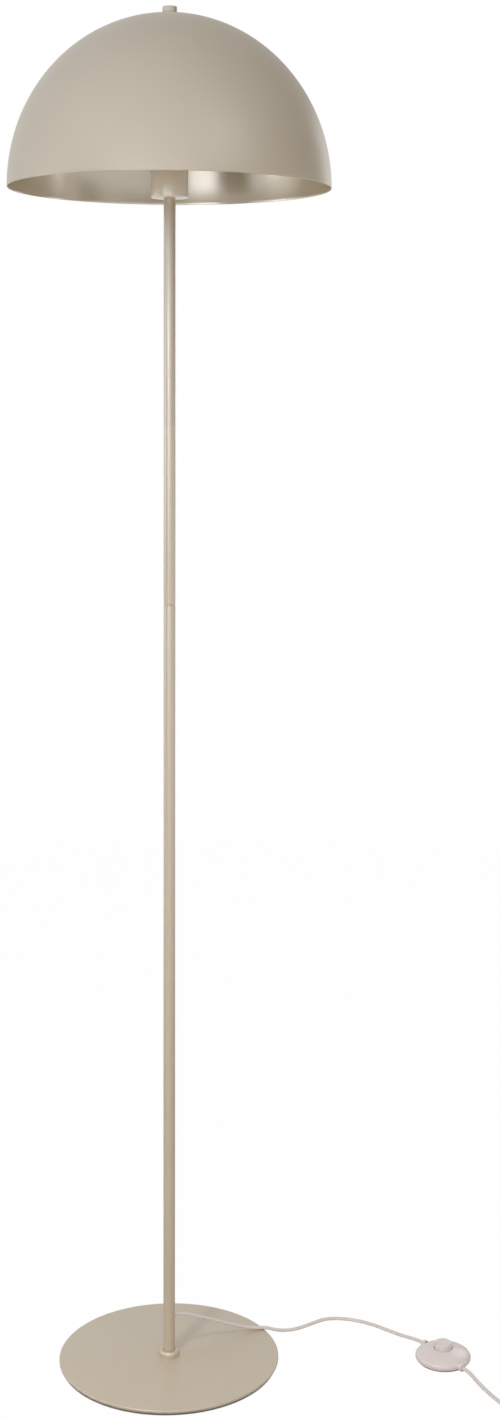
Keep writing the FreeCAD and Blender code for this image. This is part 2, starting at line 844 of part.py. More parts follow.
def swept(label, edges, radius):
    """A round tube along a path of lines and arcs, compared with its section times its length."""
    path = Part.Wire(edges)
    start = edges[0].valueAt(edges[0].FirstParameter)
    heading = edges[0].tangentAt(edges[0].FirstParameter)
    section = Part.Wire([Part.makeCircle(radius, start, heading)])
    shape = path.makePipeShell([section], True, False)
    feature = doc.addObject("Part::Feature", "tube_" + label)
    feature.Shape = shape.Solids[0] if shape.Solids else shape
    share = feature.Shape.Volume / (math.pi * radius**2 * path.Length)
    print("%s: %.1f mm long, volume share %.4f" % (label, path.Length, share))
    return feature


def vectors(rows):
    """Points from rows of numbers."""
    return [FreeCAD.Vector(*row) for row in rows]


def cord(label, points):
    """A free stretch of the lead."""
    edges, radii = bend_path(points)
    print("%s: least radius %.1f mm" % (label, min(radii)))
    return keep(swept(label, edges, CORD_RADIUS), label)


# From the cord hole, down over the plate's edge and along the floor to the foot switch.
exit_way = FreeCAD.Rotation(FreeCAD.Vector(0, 0, 1), value("hole_turn"))
pole_exit = exit_way.multVec(FreeCAD.Vector(value(GROMMET_END), 0, value("hole_level")))
LAMP_ROUTE = [
    (28.0, 17.4, 45.8),
    (42.0, 25.6, 37.6),
    (60.0, 36.2, 27.2),
    (80.0, 47.6, 18.4),
    (98.0, 56.8, 12.4),
    (113.5, 63.2, 9.2),
    (128.5, 66.0, 4.6),
    (145.0, 66.0, 2.6),
    (159.5, 70.0, 2.6),
    (174.0, 79.5, 2.6),
    (188.5, 86.0, 2.6),
    (203.5, 84.5, 2.6),
    (217.5, 79.8, 2.6),
    (231.0, 73.0, 2.6),
    (244.5, 62.8, 2.6),
    (257.0, 50.5, 2.6),
    (271.0, 36.5, 3.4),
]
switch_way = FreeCAD.Rotation(FreeCAD.Vector(0, 0, 1), value("switch_turn"))
switch_spot = FreeCAD.Vector(value("switch_x"), value("switch_y"), 0)


def at_switch(along, across, up):
    """A place given along the lead's direction through the foot switch."""
    return switch_spot + switch_way.multVec(FreeCAD.Vector(along, across, up))


NOSE = value("nose_reach")
SPLIT = value("switch_split")
entry = at_switch(-NOSE, 0, SPLIT)
leave = at_switch(NOSE, 0, SPLIT)
RUN_OUT = 9.0  # the lead runs straight this far out of the pole and the foot switch
after_pole = pole_exit + exit_way.multVec(FreeCAD.Vector(RUN_OUT + 3, 0, 0))
before_switch = at_switch(-NOSE - RUN_OUT, 0, SPLIT)
cord("lamp_lead", [pole_exit, after_pole] + vectors(LAMP_ROUTE) + [before_switch, entry])

# From the foot switch along the floor to the coil.
COIL_OUTER = value("coil_outer")
PITCH = value("coil_pitch")
COIL_X, COIL_Y = 406.5, -156.0
PLUG_ROUTE = [
    (337.0, -62.0, 3.6),
    (342.5, -77.5, 2.7),
    (349.5, -94.5, 2.6),
    (357.0, -111.5, 2.6),
    (364.5, -126.0, 2.6),
]


def spiral(centre, outer, pitch, room, low, turns_in, turns_out):
    """Half-turn arcs that wind in on one layer, climb a layer in a half turn and wind out.

    The turns run anticlockwise from the point at -X of the centre. Each half turn is a
    semicircle, so that the line stays smooth, and the climb is a semicircle that is tilted
    and has some room to the turns round it.
    """
    arcs, side, level = [], -1.0, low
    radii = [outer - pitch / 2 * step for step in range(turns_in * 2)]
    innermost = radii[-1] - pitch / 2 - room
    radii += [innermost, innermost]
    radii += [outer - pitch / 2 * step for step in range(turns_out * 2 - 1, -1, -1)]
    climb_at = turns_in * 2
    x = centre.x + side * radii[0]
    for step in range(len(radii) - 1):
        next_x = centre.x - side * radii[step + 1]
        next_level = level + (pitch if step == climb_at else 0.0)
        start = FreeCAD.Vector(x, centre.y, level)
        end = FreeCAD.Vector(next_x, centre.y, next_level)
        middle = (start + end) * 0.5 + FreeCAD.Vector(0, side * start.distanceToPoint(end) / 2, 0)
        arcs.append(Part.Arc(start, middle, end).toShape())
        x, level, side = next_x, next_level, -side
    return arcs


def least_gap(arcs, diameter, spacing=2.0):
    """The least distance between stretches of a coil that aren't neighbours along it."""
    line = []
    for arc in arcs:
        steps = max(int(arc.Length / spacing), 4)
        span = arc.LastParameter - arc.FirstParameter
        line += [arc.valueAt(arc.FirstParameter + span * i / steps) for i in range(steps)]
    apart = int(8 * diameter / spacing)
    nearest = min(
        line[i].distanceToPoint(line[j])
        for i in range(len(line))
        for j in range(i + apart, len(line))
    )
    return nearest - diameter


coil_arcs = spiral(
    FreeCAD.Vector(COIL_X, COIL_Y, 0), COIL_OUTER, PITCH, value("climb_room"), FLOOR_LINE, 3, 3
)
first, last = coil_arcs[0], coil_arcs[-1]
coil_start = first.valueAt(first.FirstParameter)
coil_end = last.valueAt(last.LastParameter)
start_way = first.tangentAt(first.FirstParameter)
end_way = last.tangentAt(last.LastParameter)
lead_in = coil_start - start_way * value("cord_dia")
lead_out = coil_end + end_way * value("cord_dia")
coil_edges = (
    [Part.LineSegment(lead_in, coil_start).toShape()]
    + coil_arcs
    + [Part.LineSegment(coil_end, lead_out).toShape()]
)
print("coil: least gap to itself %.2f mm" % least_gap(coil_arcs, value("cord_dia")))
after_switch = at_switch(NOSE + RUN_OUT, 0, SPLIT)
before_coil = lead_in - start_way * 12.0
cord("plug_lead", [leave, after_switch] + vectors(PLUG_ROUTE) + [before_coil, lead_in])
keep(swept("plug_lead_coil", coil_edges, CORD_RADIUS), "plug_lead_coil")

# The lead inside the pole turns up sharply behind the grommet and ends above the nipple.
INNER_TOP = value(CUP_LEVEL + " + nipple_stand + 1")
bend = 3.0
hole_level = value("hole_level")
inner_points = [(value(GROMMET_END), hole_level), (bend, hole_level), (0, hole_level + bend)]
across, corner, up = [exit_way.multVec(FreeCAD.Vector(r, 0, z)) for r, z in inner_points]
dip = exit_way.multVec(
    FreeCAD.Vector(bend * (1 - math.sqrt(0.5)), 0, hole_level + bend * (1 - math.sqrt(0.5)))
)
inner_edges = [
    Part.LineSegment(across, corner).toShape(),
    Part.Arc(corner, dip, up).toShape(),
    Part.LineSegment(up, FreeCAD.Vector(0, 0, INNER_TOP)).toShape(),
]
keep(swept("inner_lead", inner_edges, CORD_RADIUS), "inner_lead")

# Two cores fan out from the lead's end to the holes in the terminal block.
core_tubes = []
for side in (1, -1):
    core_points = vectors(
        [
            (side * 1.3, 0, INNER_TOP),
            (side * 1.3, 0, INNER_TOP + 2.2),
            (side * (value(CORE_HOLE) - 0.1), 0, value(BLOCK_LOW) - 1.7),
            (side * value(CORE_HOLE), 0, value(BLOCK_LOW) + 4),
        ]
    )
    core_edges, _ = bend_path(core_points)
    core_tubes.append(swept("core_wire", core_edges, value("core_radius")))
keep(group("core_pair", core_tubes), "core_wires")


# ---------------------------------------------------------------- foot switch
def on_switch(thing):
    """Moves a piece made about the origin to the foot switch's place."""
    return place(thing, x="switch_x", y="switch_y", turn="switch_turn")


def nose(label):
    """The cord grips: a tube across the whole switch, along the lead."""
    return rod(label, "nose_radius", "nose_reach * 2", x="-nose_reach", z="switch_split", turn="90", axis=(0, 1, 0))


def channel(label):
    """The space of the lead through both ends of the switch."""
    return rod(
        label,
        "cord_dia / 2 + thread_gap",
        "nose_reach * 2 + 4",
        x="-nose_reach - 2",
        z="switch_split",
        turn="90",
        axis=(0, 1, 0),
    )


keep(on_switch(turned("switch_pad", ring("24", "switch_radius - 2.5", "0", "foot_thick"))), "switch_pad")

INSIDE = "(switch_radius - switch_wall)"
BASE_FLOOR = "(foot_thick + 1.4)"
POST_RADIUS = "(spring_radius - spring_wire / 2 - 0.3)"
BOSS_PLACE = "19.5"
base_shell = turned(
    "switch_base_shell",
    [
        ("0", "foot_thick"),
        ("switch_radius - 1", "foot_thick"),
        ("switch_radius", "foot_thick + 1"),
        ("switch_radius", "switch_split"),
        (INSIDE, "switch_split"),
        (INSIDE, BASE_FLOOR),
        (POST_RADIUS, BASE_FLOOR),
        (POST_RADIUS, "switch_split + 2"),
        ("0", "switch_split + 2"),
    ],
)
lower_half = block("nose_lower_half", "nose_reach * 4", "nose_radius * 4", "switch_split", z="0")
inner_space = rod("nose_inner_space", INSIDE, "30", z="-5")
base_nose = doc.addObject("Part::MultiCommon", "base_nose")
base_nose.Shapes = [nose("base_nose_rod"), lower_half]
base_nose_ends = cut("base_nose_ends", base_nose, inner_space)
bosses = [
    rod("base_boss", "3.6", "switch_split - foot_thick", y=side + BOSS_PLACE, z="foot_thick")
    for side in ("", "-")
]
base_holes = [channel("base_channel")]
for side in ("", "-"):
    base_holes.append(rod("base_screw_way", "1.6", "20", y=side + BOSS_PLACE, z="-5"))
    base_holes.append(rod("base_screw_sink", "3", "foot_thick + 1.8", y=side + BOSS_PLACE, z="0"))
base_solid = fuse("switch_base_solid", [base_shell, base_nose_ends] + bosses)
keep(on_switch(cut("switch_base_cut", base_solid, fuse("base_holes", base_holes))), "switch_base")

BUTTON_HOLE = "(button_radius + button_gap)"
cover_shell = turned(
    "switch_cover_shell",
    [
        (INSIDE, "switch_split"),
        ("switch_radius", "switch_split"),
        ("switch_radius", "cover_edge", "2"),
        ("switch_radius - 1.6", "cover_edge + 1.5", "70"),
        (BUTTON_HOLE + " + 0.5", "cover_top"),
        (BUTTON_HOLE, "cover_top - 0.5"),
        (BUTTON_HOLE, "cover_top - switch_wall", "-70"),
        (INSIDE + " - 1", "cover_edge + 1.5 - switch_wall"),
    ],
)
upper_half = block(
    "nose_upper_half", "nose_reach * 4", "nose_radius * 4", "switch_split", z="switch_split"
)
cover_nose = doc.addObject("Part::MultiCommon", "cover_nose")
cover_nose.Shapes = [nose("cover_nose_rod"), upper_half]
cover_nose_ends = cut("cover_nose_ends", cover_nose, rod("cover_inner_space", INSIDE, "30", z="-5"))
cover_bosses = [
    rod("cover_boss", "3.2", "cover_edge + 3 - switch_split", y=side + BOSS_PLACE, z="switch_split")
    for side in ("", "-")
]
cover_holes = [channel("cover_channel")] + [
    rod("cover_screw_way", "1.45", "5", y=side + BOSS_PLACE, z="switch_split - 1")
    for side in ("", "-")
]
cover_solid = fuse("switch_cover_solid", [cover_shell, cover_nose_ends] + cover_bosses)
keep(on_switch(cut("switch_cover_cut", cover_solid, fuse("cover_holes", cover_holes))), "switch_cover")

cover_screws = []
for side in ("", "-"):
    cover_screws.append(
        turned(
            "cover_screw",
            [
                ("0", "foot_thick + 0.3"),
                ("2.7", "foot_thick + 0.3"),
                ("2.7", "foot_thick + 1.8"),
                ("1.4", "foot_thick + 1.8"),
                ("1.4", "switch_split + 3.4"),
                ("0", "switch_split + 3.9"),
            ],
            y=side + BOSS_PLACE,
        )
    )
keep(on_switch(group("cover_screw_pair", cover_screws)), "cover_screws")

# The button: a cap with a flange under the cover and a stem inside the spring.
FLANGE_HIGH = "(cover_top - switch_wall - 0.9)"
button = turned(
    "switch_button",
    [
        ("button_radius - button_wall", FLANGE_HIGH + " - 1.2"),
        ("button_radius + 2.4", FLANGE_HIGH + " - 1.2"),
        ("button_radius + 2.4", FLANGE_HIGH),
        ("button_radius", FLANGE_HIGH),
        ("button_radius", "button_top - button_round", "button_round"),
        ("button_radius - button_round", "button_top"),
        ("0", "button_top"),
        ("0", "button_top - 8"),
        (POST_RADIUS, "button_top - 8"),
        (POST_RADIUS, "button_top - button_wall"),
        ("button_radius - button_wall", "button_top - button_wall"),
    ],
)
keep(on_switch(button), "switch_button")
bridge = turned(
    "contact_bridge",
    ring("6.2", "button_radius + 1.4", FLANGE_HIGH + " - 1.8", FLANGE_HIGH + " - 1.2"),
)
keep(on_switch(bridge), "contact_bridge")

# Fixed contacts: a post that the bridge lands on, with a foot that carries the terminal.
POST_HEIGHT = "(%s - 1.8 - button_travel - 0.1 - %s)" % (FLANGE_HIGH, BASE_FLOOR)
contact_feet = []
terminal_screws = []
for side in ("", "-"):
    post = block("contact_post", "3", "3", POST_HEIGHT, y=side + "9", z=BASE_FLOOR)
    foot = block(
        "contact_foot", "9", "3", "1.2", x=side + "4.5", y=side + "9", z=BASE_FLOOR
    )
    block_end = block(
        "contact_block", "4.4", "4.4", "2.6", x=side + "10", y=side + "9", z=BASE_FLOOR
    )
    solid = fuse("contact_solid", [post, foot, block_end])
    way = rod("terminal_way", "0.85", "4", x=side + "10", y=side + "9", z=BASE_FLOOR + " + 0.6")
    contact_feet.append(cut("contact_drilled", solid, way))
    terminal_screws.append(
        turned(
            "terminal_screw",
            ring("0", "0.8", BASE_FLOOR + " + 0.7", BASE_FLOOR + " + 2.6")[:2]
            + [
                ("0.8", BASE_FLOOR + " + 2.6"),
                ("1.6", BASE_FLOOR + " + 2.6"),
                ("1.6", BASE_FLOOR + " + 3.6"),
                ("0", BASE_FLOOR + " + 3.6"),
            ],
            x=side + "10",
            y=side + "9",
        )
    )
keep(on_switch(group("contact_pair", contact_feet)), "switch_contacts")
keep(on_switch(group("terminal_screw_pair", terminal_screws)), "terminal_screws")

# The lead's end inside each side of the switch, its clamp, and the cores.
CORD_INSIDE = "13"
CLAMP_PLACE = "17"
stubs, clamps, clamp_screws = [], [], []
for sign, side in ((1, ""), (-1, "-")):
    start = side + CORD_INSIDE if sign == 1 else "-nose_reach"
    stubs.append(
        rod(
            "lead_end",
            "cord_dia / 2",
            "nose_reach - %s" % CORD_INSIDE,
            x=start,
            z="switch_split",
            turn="90",
            axis=(0, 1, 0),
        )
    )
    bar = block(
        "clamp_bar", "4.5", "15", "1.4", x=side + CLAMP_PLACE, z="switch_split + cord_dia / 2"
    )
    bar_holes = []
    for across in ("5.2", "-5.2"):
        spot = {"x": side + CLAMP_PLACE, "y": across}
        bar_holes.append(rod("clamp_hole", "1.15", "4", z="switch_split + cord_dia / 2 - 1", **spot))
        clamp_screws.append(
            cheese_head("clamp_screw", "1.1", "1.9", "4", "1.1", z="switch_split + cord_dia / 2 + 1.4", **spot)
        )
    clamps.append(cut("clamp_drilled", bar, fuse("clamp_holes", bar_holes)))
keep(on_switch(group("lead_end_pair", stubs)), "switch_lead_ends")
keep(on_switch(group("clamp_pair", clamps)), "cord_clamps")
keep(on_switch(group("clamp_screw_set", clamp_screws)), "clamp_screws")


# Spring between the base's floor and the button, round the post and the stem, with closed ends.
# Its turns are tilted semicircles, which meet smoothly because each is square to its diameter.
spring_low = value(BASE_FLOOR + " + spring_wire / 2 + 0.05")
spring_high = value("button_top - button_wall - spring_wire / 2 - 0.05")
half_turns = SIZES["spring_turns"] * 2
spring_edges = []
for step in range(half_turns):
    side = 1 if step % 2 == 0 else -1
    closed = step in (0, half_turns - 1)
    rise = 0.0 if closed else (spring_high - spring_low) / (half_turns - 2)
    level = spring_low + max(step - 1, 0) * (spring_high - spring_low) / (half_turns - 2)
    start = FreeCAD.Vector(side * value("spring_radius"), 0, level)
    end = FreeCAD.Vector(-side * value("spring_radius"), 0, level + rise)
    bulge = FreeCAD.Vector(0, side * start.distanceToPoint(end) / 2, 0)
    spring_edges.append(Part.Arc(start, (start + end) * 0.5 + bulge, end).toShape())
keep(on_switch(swept("switch_spring", spring_edges, value("spring_wire / 2"))), "switch_spring")


# ---------------------------------------------------------------- plug
# The plug lies flat beside the coil and its pins point along +Y.
PLUG_Z = "(plug_height / 2)"  # half the height, and the height of its middle
HALF_WIDE = "(plug_width / 2)"
HALF_TAIL = "(plug_tail_width / 2)"


def plug_section(body, name, half_wide, half_high, along):
    """An eight-sided section of the plug, square to its length."""
    side, top = half_wide + " - plug_chamfer", half_high + " - plug_chamfer"
    corners = [(half_wide, "-(%s)" % top), (half_wide, top), (side, half_high)]
    corners += [("-(%s)" % side, half_high), ("-" + half_wide, top), ("-" + half_wide, "-(%s)" % top)]
    corners += [("-(%s)" % side, "-" + half_high), (side, "-" + half_high)]
    sketch = draw(new_sketch(body, name, "XZ_Plane"), corners)
    back = "-(%s)" % along
    sketch.AttachmentOffset = FreeCAD.Placement(FreeCAD.Vector(0, 0, value(back)), FreeCAD.Rotation())
    sketch.setExpression("AttachmentOffset.Base.z", cell(back))
    return sketch


plug_block = doc.addObject("PartDesign::Body", "body_plug_block")
sections = [
    plug_section(plug_block, "plug_at_cord", HALF_TAIL, "plug_tail_height / 2", "0"),
    plug_section(plug_block, "plug_at_shoulder", HALF_WIDE, PLUG_Z, "plug_length - plug_head"),
    plug_section(plug_block, "plug_at_face", HALF_WIDE, PLUG_Z, "plug_length"),
]
plug_loft = plug_block.newObject("PartDesign::AdditiveLoft", "plug_loft")
plug_loft.Profile = sections[0]
plug_loft.Sections = sections[1:]
plug_loft.Ruled = True
plug_block.Tip = plug_loft

# Strain relief: a tapered neck with grooves round it.
neck_outline = [("0", "-neck_reach")]
NECK_RIBS = 3
for rib in range(NECK_RIBS):
    low = "-neck_reach + neck_reach * %s / %s" % (rib, NECK_RIBS)
    neck_outline += [
        ("3.5 + %s" % (0.5 * rib), low),
        ("3.5 + %s" % (0.5 * rib + 0.3), low + " + neck_reach / 3 - 1.1"),
        ("3.1 + %s" % (0.5 * rib), low + " + neck_reach / 3 - 1"),
        ("3.1 + %s" % (0.5 * rib), low + " + neck_reach / 3 - 0.1"),
    ]
neck_outline += [("5", "0.5"), ("0", "0.5")]
neck = place(turned("plug_neck", neck_outline), turn="-90", axis=(1, 0, 0))
plug_solid = fuse("plug_solid", [plug_block, neck])
PIN_ROOT = "(plug_length - 6)"
plug_ways = [
    rod(
        "plug_cord_way",
        "cord_dia / 2 + thread_gap",
        "neck_reach + 6",
        y="-neck_reach - 1",
        turn="-90",
        axis=(1, 0, 0),
    )
]
pins, sleeves = [], []
for sign, side in ((1, ""), (-1, "-")):
    pin_x = side + "pin_spacing / 2"
    plug_ways.append(
        rod("plug_pin_way", "1.4 + thread_gap", "7", x=pin_x, y=PIN_ROOT, turn="-90", axis=(1, 0, 0))
    )
    pin = turned(
        "plug_pin",
        [
            ("0", PIN_ROOT + " + 0.1"),
            ("1.4", PIN_ROOT + " + 0.1"),
            ("1.4", "plug_length + sleeve_length"),
            ("pin_radius", "plug_length + sleeve_length"),
            ("pin_radius", "plug_length + pin_length - 1.5", "1.5"),
            ("pin_radius - 1.5", "plug_length + pin_length"),
            ("0", "plug_length + pin_length"),
        ],
    )
    pins.append(place(pin, x=pin_x, turn="-90", axis=(1, 0, 0)))
    pin_sleeve = turned(
        "pin_sleeve",
        ring("1.4 + press_gap", "pin_radius - 0.25", "plug_length", "plug_length + sleeve_length"),
    )
    sleeves.append(place(pin_sleeve, x=pin_x, turn="-90", axis=(1, 0, 0)))
for label, thing in (
    ("plug_body", cut("plug_bored", plug_solid, fuse("plug_ways", plug_ways))),
    ("plug_pins", group("pin_pair", pins)),
    ("pin_sleeves", group("sleeve_pair", sleeves)),
):
    keep(place(thing, x="plug_x", y="plug_y", z=PLUG_Z), label)

# From the coil up over its edge to the plug.
plug_mouth = FreeCAD.Vector(value("plug_x"), value("plug_y - neck_reach"), value(PLUG_Z))
TAIL_ROUTE = [(445.6, -125.0, 7.8), (446.6, -112.0, 7.1)]
after_coil = lead_out + end_way * 12.0
before_plug = plug_mouth - FreeCAD.Vector(0, 12, 0)
in_plug = plug_mouth + FreeCAD.Vector(0, 10, 0)
cord("plug_tail", [lead_out, after_coil] + vectors(TAIL_ROUTE) + [before_plug, in_plug])


# ---------------------------------------------------------------- checks and export
doc.recompute()
faults = [o.Name for o in doc.Objects if "Invalid" in o.State or "Error" in o.State]
for part in parts:
    if part.Shape.isNull() or not part.Shape.isValid() or not part.Shape.Solids:
        faults.append(part.Label)
if faults:
    raise RuntimeError("failed: " + ", ".join(faults))
os.makedirs("parts", exist_ok=True)
for part in parts:
    part.Shape.exportStep("parts/%s.step" % part.Label)
print("%d sub-parts written" % len(parts))
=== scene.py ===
# %% [markdown]
# # A mushroom floor lamp, dressed for its picture
# The lamp is a spun steel dome on a slim two-piece pole and a flat round base, painted in one
# warm greige. A thin white lead with a round foot switch lies beside it. The engineering model
# comes in as a fixed frame, so this lesson only adds what the eye sees: finishes, soft edges,
# the lead as it really lies, light and a camera.

# %% The frame
import math

import bmesh
import bpy
import json
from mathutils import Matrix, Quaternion, Vector


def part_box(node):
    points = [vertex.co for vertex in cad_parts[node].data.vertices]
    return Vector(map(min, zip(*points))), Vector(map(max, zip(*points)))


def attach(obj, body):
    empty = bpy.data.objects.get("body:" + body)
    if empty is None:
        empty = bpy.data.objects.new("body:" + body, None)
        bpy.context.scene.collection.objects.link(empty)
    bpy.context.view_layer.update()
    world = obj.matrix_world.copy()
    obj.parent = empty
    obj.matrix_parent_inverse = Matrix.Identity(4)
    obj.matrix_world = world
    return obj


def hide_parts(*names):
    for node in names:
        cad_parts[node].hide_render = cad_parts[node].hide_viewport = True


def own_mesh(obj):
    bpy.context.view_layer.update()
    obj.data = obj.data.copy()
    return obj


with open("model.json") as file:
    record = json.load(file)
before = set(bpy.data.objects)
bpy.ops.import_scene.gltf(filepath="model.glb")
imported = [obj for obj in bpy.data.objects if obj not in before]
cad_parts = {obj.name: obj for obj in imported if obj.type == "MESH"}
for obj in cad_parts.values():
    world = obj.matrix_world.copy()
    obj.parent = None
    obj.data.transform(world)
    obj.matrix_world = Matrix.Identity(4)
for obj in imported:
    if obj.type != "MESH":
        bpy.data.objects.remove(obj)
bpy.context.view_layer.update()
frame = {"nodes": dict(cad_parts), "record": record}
cad = frame["nodes"]

# %% [markdown]
# Blender works in metres and in linear light, while a lamp maker thinks in millimetres and a
# painter in sRGB hex. Three small helpers translate, one adds a shader node and one shows a
# result on a material. Two more join rings of points into a closed solid.


# %% Small helpers
def mm(length):
    """Millimetres as metres."""
    return length / 1000.0


def paint(code):
    """An sRGB hex colour as the linear colour that shaders work in."""
    channels = [int(code[i : i + 2], 16) / 255 for i in (1, 3, 5)]
    curve = [c / 12.92 if c <= 0.04045 else ((c + 0.055) / 1.055) ** 2.4 for c in channels]
    return (*curve, 1.0)


def per_metre(size_mm):
    """The texture scale at which one cell of a pattern is that many millimetres."""
    return 1000.0 / size_mm


def add(tree, kind, inputs=None, **settings):
    """Adds a shader node, with its settings, and its inputs as values or as links."""
    node = tree.nodes.new(kind)
    for name, setting in settings.items():
        setattr(node, name, setting)
    for name, value in (inputs or {}).items():
        if isinstance(value, bpy.types.NodeSocket):
            tree.links.new(value, node.inputs[name])
        else:
            node.inputs[name].default_value = value
    return node


def show(tree, result):
    """Links a result to the material's output, in place of the bare shader."""
    for node in tree.nodes:
        if node.bl_idname == "ShaderNodeOutputMaterial":
            tree.links.new(result, node.inputs["Surface"])


def skin(shape, rings):
    """Joins each ring of points to the next one, and closes both ends."""
    for ring, following in zip(rings, rings[1:]):
        for i in range(len(ring)):
            j = (i + 1) % len(ring)
            shape.faces.new((ring[i], ring[j], following[j], following[i]))
    shape.faces.new(rings[0])
    shape.faces.new(rings[-1])


def solid(name, shape, creases):
    """A smooth object from a finished shape, with edges that are sharp from an angle on."""
    bmesh.ops.recalc_face_normals(shape, faces=shape.faces)
    mesh = bpy.data.meshes.new(name)
    shape.to_mesh(mesh)
    shape.free()
    mesh.shade_smooth()
    mesh.set_sharp_from_angle(angle=math.radians(creases))
    thing = bpy.data.objects.new(name, mesh)
    bpy.context.collection.objects.link(thing)
    return thing


print("greige in linear light:", [round(c, 3) for c in paint("#BDB19C")])

# %% [markdown]
# ## The camera
# The picture was taken from about 2.1 m away and 1.08 m up, level enough that the pole stays
# nearly upright. The product was then cropped off centre, which is what the lens shift is for:
# tilting the camera instead would make the pole lean.

# %% The camera
CAMERA_PLACE = (0.0, -2.116, 1.083)
CAMERA_TILT = 0.0684  # radians downwards
CAMERA_PAN = 0.0416  # radians to the right
CAMERA_ROLL = 0.0033
PHOTO_HIGH = 1418
FOCAL_PIXELS = 1937.4
OPTICAL_CENTRE_FROM_TOP = 528.8
SENSOR = 36.0

camera = bpy.data.objects.new("camera", bpy.data.cameras.new("camera"))
bpy.context.collection.objects.link(camera)
ahead = Vector(
    (
        math.sin(CAMERA_PAN) * math.cos(CAMERA_TILT),
        math.cos(CAMERA_PAN) * math.cos(CAMERA_TILT),
        -math.sin(CAMERA_TILT),
    )
)
camera.location = CAMERA_PLACE
camera.rotation_mode = "QUATERNION"
camera.rotation_quaternion = ahead.to_track_quat("-Z", "Y") @ Quaternion((0, 0, 1), CAMERA_ROLL)
camera.data.sensor_width = SENSOR
camera.data.lens = FOCAL_PIXELS * SENSOR / PHOTO_HIGH
camera.data.shift_y = (OPTICAL_CENTRE_FROM_TOP - PHOTO_HIGH / 2) / PHOTO_HIGH
camera.data.clip_end = 50
bpy.context.scene.camera = camera
print("lens %.1f mm, shift %.3f" % (camera.data.lens, camera.data.shift_y))

# %% [markdown]
# ## The lead
# A lamp's mains lead is two cores side by side in soft PVC, with a faint groove between them.
# The photograph shows it about 3.2 mm thick; its width of 5 mm is that of common flat leads.
# It leaves the pole through a bush, sags to the base, slides over its edge and
# lies on the floor in lazy waves, flat side down. A curve with a round bevel can't be flat, so
# the route is a smooth NURBS line and the oval section is swept along it by hand.

# %% The lead's section
LEAD_WIDE = mm(5.0)
LEAD_THICK = mm(3.2)
LEAD_GROOVE = 0.16  # share of the thickness that the groove takes
LEAD_SIDES = 20


def lead_section():
    """The oval outline of the lead, as (across, up) offsets from its middle."""
    outline = []
    for step in range(LEAD_SIDES):
        turn = 2 * math.pi * step / LEAD_SIDES
        across = LEAD_WIDE / 2 * math.cos(turn)
        groove = 1 - LEAD_GROOVE * math.exp(-((across / mm(0.7)) ** 2))
        outline.append((across, LEAD_THICK / 2 * math.sin(turn) * groove))
    return outline


def smooth_line(points):
    """Points along the smooth NURBS line that a list of control points gives."""
    line = bpy.data.curves.new("line", "CURVE")
    line.dimensions = "3D"
    line.resolution_u = 6
    spline = line.splines.new("NURBS")
    spline.points.add(len(points) - 1)
    for point, place in zip(spline.points, points):
        point.co = (*place, 1.0)
    spline.order_u = 3
    spline.use_endpoint_u = True
    holder = bpy.data.objects.new("line", line)
    bpy.context.collection.objects.link(holder)
    bpy.context.view_layer.update()
    mesh = bpy.data.meshes.new_from_object(holder)
    path = [v.co.copy() for v in mesh.vertices]
    bpy.data.objects.remove(holder)
    bpy.data.curves.remove(line)
    bpy.data.meshes.remove(mesh)
    return path


def lead(name, points):
    """Sweeps the lead's section along a route, flat side down, and closes its ends."""
    path = smooth_line(points)
    shape = bmesh.new()
    rings = []
    for before, here, after in zip([path[0]] + path, path, path[1:] + [path[-1]]):
        along = (after - before).normalized()
        side = along.cross(Vector((0, 0, 1))).normalized()
        up = side.cross(along)
        rings.append([shape.verts.new(here + side * a + up * b) for a, b in lead_section()])
    skin(shape, rings)
    thing = solid(name, shape, creases=60)
    length = sum((b - a).length for a, b in zip(path, path[1:]))
    print("%s: %.3f m along its middle" % (name, length))
    return thing, path


# %% [markdown]
# The first stretch runs from the pole to the foot switch. Its points follow the photograph:
# down onto the base, over its edge, one wave on the floor, and in at the switch's back.

# %% From the pole to the foot switch
ON_FLOOR = mm(1.7)  # the lead's middle where its flat side lies on the floor
LAMP_ROUTE = [
    (0.0062, 0.0039, 0.0510),
    (0.0164, 0.0102, 0.0484),
    (0.0280, 0.0174, 0.0420),
    (0.0420, 0.0256, 0.0350),
    (0.0600, 0.0356, 0.0248),
    (0.0800, 0.0460, 0.0148),
    (0.0975, 0.0522, 0.0088),
    (0.1125, 0.0550, 0.0079),
    (0.1240, 0.0566, 0.0036),
    (0.1375, 0.0592, ON_FLOOR),
    (0.1520, 0.0646, ON_FLOOR),
    (0.1665, 0.0748, ON_FLOOR),
    (0.1810, 0.0852, ON_FLOOR),
    (0.1960, 0.0870, ON_FLOOR),
    (0.2110, 0.0838, ON_FLOOR),
    (0.2250, 0.0778, ON_FLOOR),
    (0.2390, 0.0688, ON_FLOOR),
    (0.2530, 0.0560, ON_FLOOR),
    (0.2690, 0.0400, 0.0024),
    (0.2854, 0.0254, 0.0046),
    (0.2902, 0.0178, 0.0046),
]
lamp_cord, lamp_path = lead("lamp_cord", LAMP_ROUTE)

# %% [markdown]
# The second stretch runs from the switch to the plug. The photograph shows only its start, so
# the rest is put away beside the lamp as a shop would send it: a neat flat coil, three turns
# inwards and three turns back on top of them.

# %% From the foot switch to the plug
COIL_MIDDLE = (0.4065, -0.1560)
COIL_OUTER = mm(38.0)
COIL_PITCH = mm(5.6)
COIL_CLIMB_ROOM = mm(1.0)
COIL_TOP = mm(5.2)
TURNS = 3
POINTS_PER_TURN = 16


